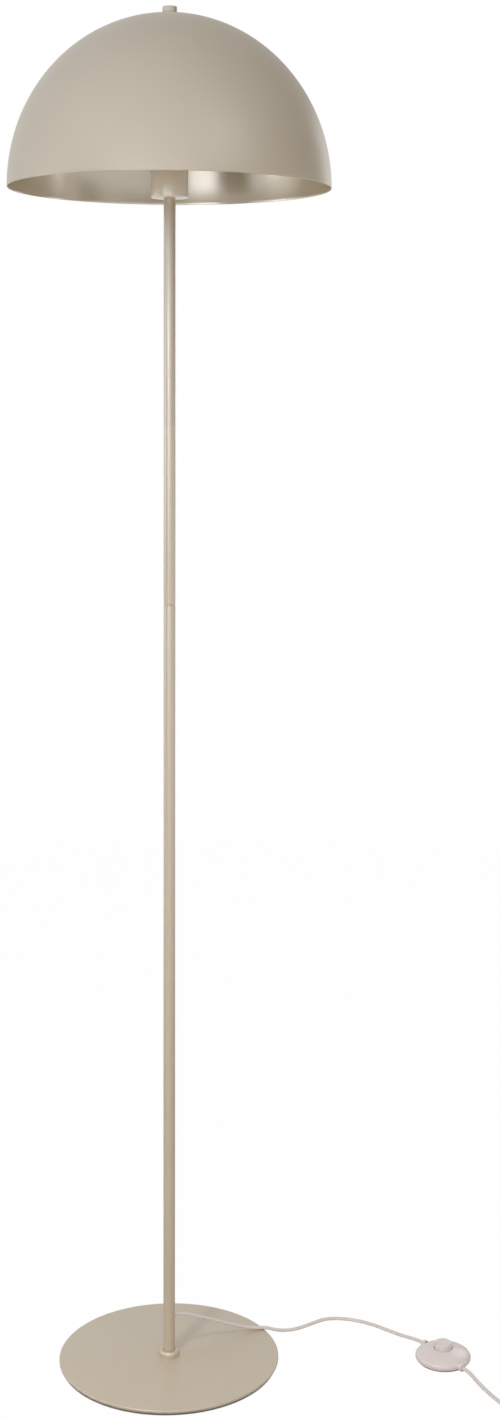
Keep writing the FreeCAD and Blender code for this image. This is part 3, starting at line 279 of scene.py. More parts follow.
def coil_points():
    """Control points of the coil: in on the floor, up a layer, and out again on top."""
    radii = [COIL_OUTER - COIL_PITCH / 2 * half for half in range(2 * TURNS)]
    inner = radii[-1] - COIL_PITCH / 2 - COIL_CLIMB_ROOM
    radii = radii + [inner, inner] + radii[::-1]
    half_steps = POINTS_PER_TURN // 2
    points = []
    for step in range((len(radii) - 1) * half_steps + 1):
        half, share = divmod(step / half_steps, 1)
        here = radii[int(half)]
        ahead_radius = radii[min(int(half) + 1, len(radii) - 1)]
        radius = (here + (ahead_radius - here) * share) / math.cos(math.pi / POINTS_PER_TURN)
        turn = math.pi + 2 * math.pi * step / POINTS_PER_TURN
        climbed = min(max(step / half_steps - 2 * TURNS, 0), 1)
        points.append(
            (
                COIL_MIDDLE[0] + radius * math.cos(turn),
                COIL_MIDDLE[1] + radius * math.sin(turn),
                ON_FLOOR + (COIL_TOP - ON_FLOOR) * climbed,
            )
        )
    return points


PLUG_ROUTE = [
    (0.3268, -0.0408, 0.0046),
    (0.3316, -0.0484, 0.0046),
    (0.3370, -0.0620, 0.0030),
    (0.3425, -0.0775, 0.0018),
    (0.3495, -0.0945, ON_FLOOR),
    (0.3570, -0.1115, ON_FLOOR),
    (0.3645, -0.1260, ON_FLOOR),
    (0.3685, -0.1390, ON_FLOOR),
]
TAIL_ROUTE = [
    (0.4446, -0.1390, 0.0055),
    (0.4456, -0.1250, 0.0062),
    (0.4466, -0.1120, 0.0067),
    (0.4470, -0.1000, 0.00685),
    (0.4470, -0.0780, 0.00685),
]
plug_cord, plug_path = lead("plug_cord", PLUG_ROUTE + coil_points() + TAIL_ROUTE)

# %% [markdown]
# Each lead stands for the plain tubes, and for the solid coil, that the frame has in its place.

# %% What the leads stand for
for cord in (lamp_cord, plug_cord):
    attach(cord, "lamp")
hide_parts("lamp_lead")
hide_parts("plug_lead", "plug_lead_coil", "plug_tail")
print("the leads stand for their solids")

# %% [markdown]
# ## Finishes
# Each finish starts from what the real surface is and how it was made. `finish` gives a bare
# Principled shader and its tree; everything that varies over the surface is added to it.


# %% A bare finish
COLOUR_A, COLOUR_B, MIXED_COLOUR = 6, 7, 2  # the Mix node's sockets for colours


def finish(name, roughness, ior=1.5, metallic=0.0):
    """A new material with one Principled shader: the material, its tree and the shader."""
    material = bpy.data.materials.new(name)
    material.use_nodes = True
    tree = material.node_tree
    tree.nodes.clear()
    shader = add(
        tree,
        "ShaderNodeBsdfPrincipled",
        {"Roughness": roughness, "IOR": ior, "Metallic": metallic},
    )
    add(tree, "ShaderNodeOutputMaterial", {"Surface": shader.outputs["BSDF"]})
    return material, tree, shader


# %% [markdown]
# ### Powder-coated steel
# Polyester powder is blown onto the steel dry and melted in an oven. This one looks like a satin
# greige with a little mica in it: thin flakes coated with titania, whose high index of 2.4
# throws a broad, colourless sheen over the colour. The coat levels out, but not quite: a very
# shallow orange peel stays, about 1 mm from crest to crest, drawn 2.5 mm because the real one
# is finer than a pixel. The spun dome is satin, the tubes and the dome's inside are smoother.
#
# Two of these coats are matched to the photograph and aren't true values. The dome's
# inside has an index of 3.5, more than any paint has, because it mirrors the room that strongly
# there, and its base colour is a little paler than the outside's, as painted light. The cup has
# the same paint as the rest, but is drawn paler as painted light, because less light reaches it
# here than in the real studio. Under other lights both may need to go back to the plain coat.


# %% Powder-coated steel
MICA_INDEX = 2.4
INSIDE_INDEX = 3.5  # matched to the photograph: no paint has this


def powder_coat(name, light, dark, roughness, peel, index=MICA_INDEX, tint="#FFFFFF"):
    """Powder paint between two near shades, with an orange peel of the given strength."""
    material, tree, shader = finish(name, roughness, ior=index)
    shader.inputs["Specular Tint"].default_value = paint(tint)
    place = add(tree, "ShaderNodeTexCoord").outputs["Object"]
    clouds = add(
        tree, "ShaderNodeTexNoise", {"Vector": place, "Scale": per_metre(90), "Detail": 2.0}
    )
    mixed = add(
        tree,
        "ShaderNodeMix",
        {"Factor": clouds.outputs["Fac"], COLOUR_A: paint(dark), COLOUR_B: paint(light)},
        data_type="RGBA",
    )
    tree.links.new(mixed.outputs[MIXED_COLOUR], shader.inputs["Base Color"])
    orange_peel = add(
        tree, "ShaderNodeTexNoise", {"Vector": place, "Scale": per_metre(2.5), "Detail": 1.0}
    )
    relief = add(
        tree,
        "ShaderNodeBump",
        {"Height": orange_peel.outputs["Fac"], "Strength": peel, "Distance": mm(0.05)},
    )
    tree.links.new(relief.outputs["Normal"], shader.inputs["Normal"])
    return material


coated_steel = powder_coat("powder_coated_steel", "#C4B399", "#C0AF95", 0.46, 0.10)
coated_tube = powder_coat("powder_coated_tube", "#C4B399", "#C0AF95", 0.30, 0.06)
# Painted light: the cup's coat is the same greige drawn paler, for light that falls short under the
# shade.
cup_coat_with_painted_light = powder_coat("powder_coat_painted_paler_cup", "#F0E2CC", "#ECDEC8", 0.26, 0.06)
# Painted light, in part: the inside's base colour is a little paler than the outside's, for light
# that falls short under the shade.
inside_coat_with_painted_light = powder_coat(
    "glossier_powder_coat_painted_paler", "#CBBCA3", "#C7B89F", 0.21, 0.04, index=INSIDE_INDEX, tint="#FFFAF2"
)
print("coats:", [m.name for m in (coated_steel, coated_tube, cup_coat_with_painted_light, inside_coat_with_painted_light)])

# %% [markdown]
# ### Moulded plastics
# The switch and the plug are injection moulded, in tools that were lightly spark eroded: a fine
# even grain, 0.4 mm across, drawn 0.8 mm. The lead and the plug are softer PVC, which is
# shinier and shows a little of its depth. Inside the shade the lampholder is moulded PBT.


# %% Moulded plastics
def moulded(name, colour, roughness, grain_mm, depth_mm, soft=0.0):
    """Injection-moulded plastic with the tool's grain, and some light in its depth if soft."""
    material, tree, shader = finish(name, roughness, ior=1.54)
    shader.inputs["Base Color"].default_value = paint(colour)
    shader.inputs["Subsurface Weight"].default_value = soft
    shader.inputs["Subsurface Scale"].default_value = mm(2.0)
    shader.inputs["Subsurface Radius"].default_value = (1.0, 0.8, 0.65)
    place = add(tree, "ShaderNodeTexCoord").outputs["Object"]
    grain = add(
        tree, "ShaderNodeTexNoise", {"Vector": place, "Scale": per_metre(grain_mm), "Detail": 2.0}
    )
    relief = add(
        tree,
        "ShaderNodeBump",
        {"Height": grain.outputs["Fac"], "Strength": 0.25, "Distance": mm(depth_mm)},
    )
    tree.links.new(relief.outputs["Normal"], shader.inputs["Normal"])
    return material


switch_abs = moulded("moulded_abs", "#EADDDA", 0.32, 0.8, 0.02)
lead_pvc = moulded("extruded_pvc", "#E2D8D2", 0.38, 3.0, 0.03, soft=0.04)
plug_pvc = moulded("moulded_pvc", "#E6DCD6", 0.42, 0.8, 0.03, soft=0.1)
holder_pbt = moulded("moulded_pbt", "#D8D2C6", 0.4, 0.8, 0.02)
white_nylon = moulded("natural_nylon", "#E2DED2", 0.36, 0.9, 0.02, soft=0.15)
housing_pc = moulded("moulded_polycarbonate", "#E8E7E2", 0.34, 0.8, 0.02)
core_pvc = moulded("core_pvc", "#5F7FA6", 0.45, 1.0, 0.02)
pin_insulator = moulded("pin_insulator", "#242322", 0.35, 0.8, 0.01)
circuit_board = moulded("solder_mask", "#EFEFEA", 0.3, 0.6, 0.01)
print("plastics:", sum(m.name.startswith("moulded") for m in bpy.data.materials))

# %% [markdown]
# ### Foam, rubber, ceramic and glassy diffuser
# The base stands on cut EVA foam and the switch on a rubber ring, both dark and dull with a
# coarse open grain. The lampholder's block is glazed steatite. The bulb's globe is opal
# polycarbonate, which lets light through but no image.

# %% Foam, rubber, ceramic, opal
eva_foam = moulded("cut_eva_foam", "#3A3836", 0.85, 1.2, 0.15)
ring_rubber = moulded("moulded_rubber", "#2C2B2A", 0.7, 0.9, 0.08)
steatite = moulded("glazed_steatite", "#E9E6DC", 0.18, 2.5, 0.02)
opal, _, opal_shader = finish("opal_polycarbonate", 0.3, ior=1.58)
opal_shader.inputs["Base Color"].default_value = paint("#F4F2EC")
opal_shader.inputs["Subsurface Weight"].default_value = 0.6
opal_shader.inputs["Subsurface Scale"].default_value = mm(6.0)
opal_shader.inputs["Subsurface Radius"].default_value = (1.0, 1.0, 0.95)
print("opal is lit through", opal_shader.inputs["Subsurface Scale"].default_value, "m")

# %% [markdown]
# ### Bare metals
# Turned or drawn metal keeps fine lines from the tool, round the piece. Zinc plate is bluish
# and a little cloudy, nickel is warmer and bright, stamped brass is yellow. A metal's colour
# is its reflection, so the base colour is light and the IOR stays at its default.


# %% Bare metals
def metal(name, colour, roughness, line_mm):
    """Plated or plain metal with tool lines stacked along the lamp's height."""
    material, tree, shader = finish(name, roughness, metallic=1.0)
    shader.inputs["Base Color"].default_value = paint(colour)
    place = add(tree, "ShaderNodeTexCoord").outputs["Object"]
    stretch = add(tree, "ShaderNodeMapping", {"Vector": place, "Scale": (0.05, 0.05, 1.0)})
    lines = add(
        tree,
        "ShaderNodeTexNoise",
        {"Vector": stretch.outputs["Vector"], "Scale": per_metre(line_mm), "Detail": 3.0},
    )
    relief = add(
        tree,
        "ShaderNodeBump",
        {"Height": lines.outputs["Fac"], "Strength": 0.3, "Distance": mm(0.02)},
    )
    tree.links.new(relief.outputs["Normal"], shader.inputs["Normal"])
    return material


zinc_plate = metal("zinc_plated_steel", "#C9CACB", 0.34, 0.5)
nickel_plate = metal("nickel_plated_brass", "#D5D0C6", 0.16, 0.6)
sheet_brass = metal("stamped_brass", "#D9B36B", 0.28, 0.5)
spring_wire = metal("drawn_spring_steel", "#A9A9A8", 0.3, 0.4)
print("metals:", [m.name for m in (zinc_plate, nickel_plate, sheet_brass, spring_wire)])

# %% [markdown]
# ### Which piece has which finish
# The record names a material slot for every node of the frame, so one table from slot to
# finish dresses them all, seen or hidden.

# %% Dressing the frame
FINISHES = {
    "greige_paint": coated_steel,
    "foam": eva_foam,
    "zinc_steel": zinc_plate,
    "spring_steel": spring_wire,
    "white_plastic": housing_pc,
    "holder_plastic": holder_pbt,
    "ceramic": steatite,
    "brass": sheet_brass,
    "nylon": white_nylon,
    "black_insulator": pin_insulator,
    "nickel": nickel_plate,
    "led_board": circuit_board,
    "opal": opal,
    "cord_pvc": lead_pvc,
    "core_pvc": core_pvc,
    "rubber": ring_rubber,
    "switch_plastic": switch_abs,
    "plug_pvc": plug_pvc,
}
slot_of = {row["node"]: row["material_slot"] for row in frame["record"]["subparts"]}
for name, thing in cad.items():
    thing.data.materials.clear()
    thing.data.materials.append(FINISHES[slot_of[name]])
for name in ("lower_pole", "upper_pole", "socket_cup", "shade_carrier"):
    cad[name].data.materials[0] = coated_tube
for cord in (lamp_cord, plug_cord):
    cord.data.materials.append(lead_pvc)
print("dressed", len(cad), "nodes with", len(FINISHES), "finishes")

# %% [markdown]
# ## Finer outsides
# The frame's solids are right in size, but their edges are drawn with few facets. The pieces
# that the eye meets are turned ones, so they are made again by turning a profile, with as many
# steps as a close look needs, and each stands for its node.


# %% Turning a profile
def turned(name, outline, around=(0.0, 0.0), steps=192, creases=35):
    """A closed solid of revolution from an outline of (radius, height) in metres."""
    shape = bmesh.new()
    rings = []
    for radius, height in outline:
        if radius < 1e-7:
            rings.append([shape.verts.new((around[0], around[1], height))])
            continue
        ring = []
        for step in range(steps):
            turn = 2 * math.pi * step / steps
            ring.append(
                shape.verts.new(
                    (
                        around[0] + radius * math.cos(turn),
                        around[1] + radius * math.sin(turn),
                        height,
                    )
                )
            )
        rings.append(ring)
    for ring, following in zip(rings, rings[1:] + rings[:1]):
        for i in range(steps):
            j = (i + 1) % steps
            corners = [ring[i % len(ring)], ring[j % len(ring)]]
            corners += [following[j % len(following)], following[i % len(following)]]
            unique = list(dict.fromkeys(corners))
            if len(unique) > 2:
                shape.faces.new(unique)
    return solid(name, shape, creases)


def stand_in(thing, node, body, surface):
    """Dresses a finer piece and lets it stand for its node."""
    thing.data.materials.append(surface)
    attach(thing, body)
    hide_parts(node)
    return thing


def arc(middle, radius, start, end, steps):
    """Points of an arc in a profile, from one angle to another, in degrees."""
    points = []
    for step in range(steps + 1):
        turn = math.radians(start + (end - start) * step / steps)
        across = middle[0] + radius * math.cos(turn)
        points.append((across, middle[1] + radius * math.sin(turn)))
    return points


# %% [markdown]
# ### The dome
# The shade is spun from 1 mm steel sheet over a former: a half ellipsoid, 350 mm wide and
# 185 mm high. Its rim isn't rolled, only deburred, and the paint pulls back to a soft edge of
# half a millimetre. Two shells of a half ellipse with a rounded rim between them make it. In the
# photograph its inside shines more than its outside, and a little warmer, so it has its own coat.
# That coat's base colour is also a little paler than the outside's: painted light, for the light
# that falls short under the shade.

# %% The dome
low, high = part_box("shade")
RIM_LEVEL, APEX_LEVEL = low.z, high.z
DOME_RADIUS = (high.x - low.x) / 2
DOME_WALL = mm(1.0)
DOME_HOLE = mm(3.4)
DOME_STEPS = 96


def half_ellipse(radius, height, stop_radius):
    """A quarter of an ellipse in a profile, from the rim up to a hole round the axis."""
    last = math.acos(stop_radius / radius)
    points = []
    for step in range(DOME_STEPS + 1):
        turn = last * step / DOME_STEPS
        points.append((radius * math.cos(turn), RIM_LEVEL + height * math.sin(turn)))
    return points


dome_height = APEX_LEVEL - RIM_LEVEL
outside = half_ellipse(DOME_RADIUS, dome_height, DOME_HOLE)
inside = half_ellipse(DOME_RADIUS - DOME_WALL, dome_height - DOME_WALL, DOME_HOLE)
edge = arc((DOME_RADIUS - DOME_WALL / 2, RIM_LEVEL + DOME_WALL / 2), DOME_WALL / 2, 180, 360, 6)
outside = [p for p in outside if p[1] > RIM_LEVEL + DOME_WALL / 2]
inside = [p for p in inside if p[1] > RIM_LEVEL + DOME_WALL / 2]
dome = turned("dome", edge + outside + inside[::-1], steps=256)
stand_in(dome, "shade", "lamp", coated_steel)
# The inside's coat, with its paler base colour as painted light, goes on the faces that look
# inwards.
dome.data.materials.append(inside_coat_with_painted_light)
for face in dome.data.polygons:
    outward = Vector((face.center.x, face.center.y, 0)).dot(face.normal)
    if outward < 0 and face.center.z > RIM_LEVEL:
        face.material_index = 1
print("dome: %.0f mm wide, %.1f mm high" % (2000 * DOME_RADIUS, 1000 * dome_height))

# %% [markdown]
# ### The base, the collar and the tubes
# The base is a laser-cut disc of 5 mm plate. The cut leaves a burr, so its top edge is broken by
# hand and its lower edge is ground back further, which is why it looks thinner than it is. The
# collar is turned from bar, with a full round shoulder. The tubes are drawn and sawn, and powder
# builds a soft lip at their ends. At its foot the upper tube is also turned down a little, and
# the thin dark gap under its lip is what shows the seam halfway up the pole.

# %% The base, the collar and the upper tube
low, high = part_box("base_plate")
PLATE_RADIUS, PLATE_LOW, PLATE_TOP = high.x, low.z, high.z
EDGE_BREAK = mm(1.0)
GROUND_BACK = mm(2.6)
SCREW_SINK, SCREW_WAY = mm(8.2), mm(4.2)
plate = turned(
    "base_plate_fine",
    [
        (SCREW_SINK, PLATE_LOW),
        (PLATE_RADIUS - GROUND_BACK, PLATE_LOW),
        (PLATE_RADIUS - mm(0.3), PLATE_TOP - mm(2.4)),
        (PLATE_RADIUS, PLATE_TOP - mm(2.0)),
    ]
    + arc((PLATE_RADIUS - EDGE_BREAK, PLATE_TOP - EDGE_BREAK), EDGE_BREAK, 0, 90, 6)
    + [(SCREW_WAY, PLATE_TOP), (SCREW_WAY, PLATE_LOW + mm(4.0))],
    steps=256,
)
stand_in(plate, "base_plate", "lamp", coated_steel)

low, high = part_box("pole_collar")
COLLAR_BORE, COLLAR_ROUND, COLLAR_LIP = mm(6.55), mm(2.8), mm(0.7)
collar = turned(
    "pole_collar_fine",
    [(COLLAR_BORE, low.z), (high.x - mm(0.2), low.z), (high.x, low.z + mm(0.2))]
    + arc((high.x - COLLAR_ROUND, high.z - COLLAR_ROUND), COLLAR_ROUND, 0, 90, 10)
    + arc((mm(7.3), high.z - COLLAR_LIP), COLLAR_LIP, 90, 180, 5),
)
stand_in(collar, "pole_collar", "lamp", coated_steel)

low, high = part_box("upper_pole")
TUBE_BORE = mm(5.5)
LIP = mm(0.6)
GAP_HIGH, GAP_DEEP = mm(0.8), mm(0.9)
upper_tube = turned(
    "upper_pole_fine",
    [(TUBE_BORE, low.z), (high.x - GAP_DEEP, low.z), (high.x - GAP_DEEP, low.z + GAP_HIGH)]
    + arc((high.x - LIP, low.z + GAP_HIGH + LIP), LIP, 280, 360, 5)
    + arc((high.x - LIP, high.z - LIP), LIP, 0, 90, 5)
    + [(TUBE_BORE, high.z)],
    steps=96,
)
stand_in(upper_tube, "upper_pole", "lamp", coated_tube)
print("plate %.0f mm wide, upper tube to %.3f m" % (2000 * PLATE_RADIUS, high.z))

# %% [markdown]
# ### The cup and the knob
# The cup under the shade is drawn from 1 mm sheet like a thimble, so its lower corner is round,
# and its open edge up in the dome is only deburred. The knob is turned brass under the same
# paint: a thin foot, a shallow neck above it, then the grip with a broken top edge.

# %% The cup and the knob
low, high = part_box("socket_cup")
CUP_HOLE, CUP_CORNER, CUP_WALL = mm(5.05), mm(1.8), mm(1.0)
cup = turned(
    "socket_cup_fine",
    [(CUP_HOLE, low.z)]
    + arc((high.x - CUP_CORNER, low.z + CUP_CORNER), CUP_CORNER, 270, 360, 8)
    + arc((high.x - CUP_WALL / 2, high.z - CUP_WALL / 2), CUP_WALL / 2, 0, 180, 6)
    + [(high.x - CUP_WALL, low.z + CUP_WALL + mm(0.4)), (high.x - mm(1.4), low.z + CUP_WALL)]
    + [(CUP_HOLE, low.z + CUP_WALL)],
)
# The cup is dressed in the paler coat, which is painted light.
stand_in(cup, "socket_cup", "lamp", cup_coat_with_painted_light)

low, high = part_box("finial_knob")
KNOB_BORE, KNOB_BORE_DEEP, KNOB_ROUND = mm(3.05), mm(5.5), mm(1.1)
knob = turned(
    "finial_knob_fine",
    [(KNOB_BORE, low.z), (high.x - mm(0.2), low.z), (high.x, low.z + mm(0.25))]
    + [(high.x, low.z + mm(0.9)), (high.x - mm(0.3), low.z + mm(1.2))]
    + [(high.x - mm(0.3), low.z + mm(1.5)), (high.x, low.z + mm(1.8))]
    + arc((high.x - KNOB_ROUND, high.z - KNOB_ROUND), KNOB_ROUND, 0, 90, 6)
    + [(0.0, high.z), (0.0, low.z + KNOB_BORE_DEEP), (KNOB_BORE, low.z + KNOB_BORE_DEEP)],
    steps=96,
)
stand_in(knob, "finial_knob", "knob", coated_tube)
print("cup and knob turned")

# %% [markdown]
# ### The foot switch
# Two moulded shells meet at the lead's height. The lower one tapers towards the floor and the
# upper one is a shallow lens with a well for the button, so that the rim looks thin. The lead
# goes in between two half-round grips. The button is a plain cap with a worn, rounded edge.
# These shells are plain inside: the frame's own solids have the screw bosses and the channels.

# %% The foot switch
SWITCH_MIDDLE = (0.3085, -0.0115)
SWITCH_TURN = math.radians(-58.0)
cover_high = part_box("switch_cover")[1]
button_low, button_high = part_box("switch_button")
SPLIT = mm(4.6)
SWITCH_RADIUS = mm(31.0)
WELL = mm(10.3)
GRIP_STATIONS = ((29.5, 4.3), (33.6, 4.3), (34.3, 4.0), (34.5, 3.5), (34.5, 2.6))  # reach, radius
GRIP_STEPS = 12


def with_grips(thing, low, high):
    """Adds the two half-round grips of the lead to one shell of the switch."""
    shape = bmesh.new()
    shape.from_mesh(thing.data)
    along = Vector((math.cos(SWITCH_TURN), math.sin(SWITCH_TURN), 0.0))
    across = Vector((-along.y, along.x, 0.0))
    middle = Vector((*SWITCH_MIDDLE, SPLIT))
    for way in (1, -1):
        rings = []
        for reach, radius in GRIP_STATIONS:
            ring = []
            for step in range(GRIP_STEPS + 1):
                turn = math.radians(low + (high - low) * step / GRIP_STEPS)
                offset = across * mm(radius) * math.cos(turn)
                place = middle + along * mm(reach) * way + offset
                place.z += mm(radius) * math.sin(turn)
                ring.append(shape.verts.new(place))
            rings.append(ring)
        for ring, following in zip(rings, rings[1:]):
            for i in range(GRIP_STEPS):
                shape.faces.new((ring[i], ring[i + 1], following[i + 1], following[i]))
        for i in range(GRIP_STEPS):
            shape.faces.new((rings[-1][i], rings[-1][i + 1], rings[0][i + 1], rings[0][i]))
    bmesh.ops.recalc_face_normals(shape, faces=shape.faces)
    shape.to_mesh(thing.data)
    shape.free()
    thing.data.shade_smooth()
    thing.data.set_sharp_from_angle(angle=math.radians(35))
    return thing


LENS = [(30.9, 5.5), (30.5, 6.5), (29.7, 7.5), (28.3, 8.5), (26.0, 9.6), (22.5, 10.9), (18.0, 12.2)]
LENS += [(14.0, 13.1), (11.4, 13.6), (10.8, 13.7)]
cover_shell = turned(
    "switch_cover_fine",
    [(SWITCH_RADIUS - mm(1.6), SPLIT), (SWITCH_RADIUS, SPLIT)]
    + [(mm(radius), mm(height)) for radius, height in LENS]
    + arc((WELL + mm(0.4), cover_high.z - mm(0.5)), mm(0.4), 90, 180, 4)
    + [(WELL, cover_high.z - mm(1.6)), (mm(24.0), mm(8.6)), (mm(28.6), mm(6.4))],
    around=SWITCH_MIDDLE,
)
stand_in(with_grips(cover_shell, 0, 180), "switch_cover", "lamp", switch_abs)
base_shell = turned(
    "switch_base_fine",
    [(0.0, mm(1.0)), (mm(28.4), mm(1.0)), (mm(29.4), mm(1.2)), (mm(30.8), mm(2.8))]
    + [(SWITCH_RADIUS, mm(3.4)), (SWITCH_RADIUS, SPLIT), (mm(29.4), SPLIT), (mm(29.4), mm(2.4))]
    + [(0.0, mm(2.4))],
    around=SWITCH_MIDDLE,
)
stand_in(with_grips(base_shell, 180, 360), "switch_base", "lamp", switch_abs)
BUTTON_RADIUS, BUTTON_ROUND, STEM_RADIUS = mm(9.8), mm(1.6), mm(4.0)
button_ceiling = button_high.z - mm(1.5)
button = turned(
    "switch_button_fine",
    [(mm(8.3), button_low.z), (mm(12.2), button_low.z), (mm(12.2), button_low.z + mm(1.2))]
    + [(BUTTON_RADIUS, button_low.z + mm(1.2))]
    + arc((BUTTON_RADIUS - BUTTON_ROUND, button_high.z - BUTTON_ROUND), BUTTON_ROUND, 0, 90, 8)
    + [(mm(7.4), button_high.z - mm(0.2)), (0.0, button_high.z - mm(0.35))]
    + [(0.0, button_high.z - mm(8.0)), (STEM_RADIUS, button_high.z - mm(8.0))]
    + [(STEM_RADIUS, button_ceiling), (mm(8.3), button_ceiling)],
    around=SWITCH_MIDDLE,
)
stand_in(button, "switch_button", "button", switch_abs)
print("switch shells and button, cover to %.4f m" % cover_high.z)

# %% [markdown]
# ### The button's return spring
# A compression spring is coiled from drawn steel wire and its end turns are closed, so that it
# stands square on the shell's floor. It stays down there while the button travels 3 mm, so it is
# wound here as one helix that squashes towards its foot and always ends under the button's cap.

# %% The button's spring
SPRING_RADIUS, WIRE_RADIUS, SPRING_TURNS, CLOSED_TURNS = mm(4.7), mm(0.4), 6, 0.75
TURN_STEPS, WIRE_SIDES = 40, 12
spring_low, spring_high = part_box("switch_spring")
wound = spring_high.z - spring_low.z - 2 * WIRE_RADIUS


def helix(turns):
    """A point on the wire's middle, which rises only between the two closed ends."""
    rising = (turns - CLOSED_TURNS) / (SPRING_TURNS - 2 * CLOSED_TURNS)
    rising = min(max(rising, 0.0), 1.0)
    around = 2 * math.pi * turns
    place = Vector((*SWITCH_MIDDLE, spring_low.z + WIRE_RADIUS + wound * rising))
    return place + SPRING_RADIUS * Vector((math.cos(around), math.sin(around), 0.0))


shape = bmesh.new()
rings = []
for step in range(SPRING_TURNS * TURN_STEPS + 1):
    turns = step / TURN_STEPS
    outward = Vector((math.cos(2 * math.pi * turns), math.sin(2 * math.pi * turns), 0.0))
    ring = []
    for side in range(WIRE_SIDES):
        turn = 2 * math.pi * side / WIRE_SIDES
        offset = outward * math.cos(turn) + Vector((0.0, 0.0, math.sin(turn)))
        ring.append(shape.verts.new(helix(turns) + WIRE_RADIUS * offset))
    rings.append(ring)
skin(shape, rings)
spring = solid("switch_spring_fine", shape, creases=50)
stand_in(spring, "switch_spring", "lamp", spring_wire)
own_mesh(spring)

# %% [markdown]
# ### The plug
# A flat two-pin plug is moulded over the end of the lead in one shot of soft PVC: a ribbed neck
# that bends with the lead, then a body that widens towards the face, with corners round enough
# to leave the mould. It is lofted through sections that go from a circle to a rounded oblong,
# which a superellipse gives with one number for how square it is.

# %% The plug's body
PLUG_MIDDLE = (mm(447.0), mm(-76.0), mm(6.85))
RIBBED_NECK = []
for rib in range(3):
    start, radius = -12.0 + 4.0 * rib, 3.5 + 0.5 * rib
    RIBBED_NECK += [(start, radius - 0.2, radius - 0.2, 2.0), (start + 0.3, radius, radius, 2.0)]
    RIBBED_NECK += [(start + 2.6, radius + 0.3, radius + 0.3, 2.0)]
    RIBBED_NECK += [(start + 2.9, radius, radius, 2.0)]
    RIBBED_NECK += [(start + 3.0, radius - 0.4, radius - 0.4, 2.0)]
    RIBBED_NECK += [(start + 3.9, radius - 0.4, radius - 0.4, 2.0)]
PLUG_STATIONS = RIBBED_NECK + [
    (0.0, 5.2, 4.6, 2.4),
    (0.5, 6.4, 5.4, 2.8),
    (1.6, 7.2, 5.8, 3.2),
    (8.0, 11.0, 6.2, 3.8),
    (15.0, 14.7, 6.55, 4.4),
    (20.0, 16.9, 6.75, 4.8),
    (22.5, 17.5, 6.85, 5.0),
    (25.0, 17.6, 6.85, 5.0),
    (27.5, 17.3, 6.85, 5.0),
    (30.5, 17.6, 6.85, 5.0),
    (32.6, 17.6, 6.8, 5.0),
    (33.4, 17.2, 6.45, 5.0),
    (33.9, 16.6, 5.9, 4.8),
    (34.0, 15.8, 5.2, 4.6),
]
PLUG_SIDES = 64
shape = bmesh.new()
rings = []
for along, half_wide, half_high, square in PLUG_STATIONS:
    ring = []
    for step in range(PLUG_SIDES):
        turn = 2 * math.pi * (step + 0.5) / PLUG_SIDES
        wide = math.copysign(abs(math.cos(turn)) ** (2 / square), math.cos(turn))
        high_up = math.copysign(abs(math.sin(turn)) ** (2 / square), math.sin(turn))
        offset = Vector((mm(half_wide) * wide, mm(along), mm(half_high) * high_up))
        ring.append(shape.verts.new(Vector(PLUG_MIDDLE) + offset))
    rings.append(ring)
skin(shape, rings)
plug = solid("plug_body_fine", shape, creases=40)
stand_in(plug, "plug_body", "lamp", plug_pvc)
print("plug body through", len(PLUG_STATIONS), "sections")

# %% [markdown]
# ### What the foot switch holds
# The foot switch sits on the end of the first lead, and the plug on the end of the second. The
# nodes inside the switch are listed here by name.

# %% The nodes inside the switch
switch_nodes = ["switch_pad", "switch_contacts", "switch_lead_ends", "contact_bridge"]
switch_nodes += ["terminal_screws", "cord_clamps", "clamp_screws", "cover_screws"]

# %% [markdown]
# ## Floor and light
# The floor is a plain pale sheet that runs into a white distance. A shop's picture has its
# background cleared to white, so the camera sees this floor as almost plain white too, apart from
# a thin shadow under the base's edge. Only light that bounces sees the whole pale sheet.

# %% The floor
FLOOR_HALF = 9.0
NEAR_WHITE = 0.985  # how much of the floor by the lamp is already plain white to the camera
FADE_START, FADE_END = 0.8, 2.6  # metres from the pole, for what is mirrored of the floor
SHADOW_INSIDE, SHADOW_OUTSIDE = mm(3.0), mm(1.8)  # how far in from the plate's edge
floor_shape = bmesh.new()
bmesh.ops.create_grid(floor_shape, x_segments=1, y_segments=1, size=FLOOR_HALF)
floor_mesh = bpy.data.meshes.new("floor")
floor_shape.to_mesh(floor_mesh)
floor_shape.free()
floor = bpy.data.objects.new("floor", floor_mesh)
floor.location.z = -mm(0.2)  # just clear of the pads, whose undersides are at zero
bpy.context.collection.objects.link(floor)

pale, floor_tree, floor_shader = finish("pale_floor", 0.9)
floor_shader.inputs["Base Color"].default_value = paint("#DAD9D7")
floor_shader.inputs["Specular IOR Level"].default_value = 0.0
spot = add(floor_tree, "ShaderNodeTexCoord").outputs["Object"]
distance = add(floor_tree, "ShaderNodeVectorMath", {0: spot}, operation="LENGTH")
far_off = add(
    floor_tree,
    "ShaderNodeMapRange",
    {"Value": distance.outputs["Value"], "From Min": FADE_START, "From Max": FADE_END},
).outputs["Result"]
kind = add(floor_tree, "ShaderNodeLightPath").outputs
watched = add(
    floor_tree,
    "ShaderNodeMath",
    {0: kind["Is Camera Ray"], 1: kind["Is Glossy Ray"]},
    operation="MAXIMUM",
)
far_white = add(
    floor_tree, "ShaderNodeMath", {0: far_off, 1: watched.outputs[0]}, operation="MULTIPLY"
)
outside_base = add(
    floor_tree,
    "ShaderNodeMapRange",
    {
        "Value": distance.outputs["Value"],
        "From Min": PLATE_RADIUS - SHADOW_INSIDE,
        "From Max": PLATE_RADIUS - SHADOW_OUTSIDE,
        "To Max": NEAR_WHITE,
    },
).outputs["Result"]
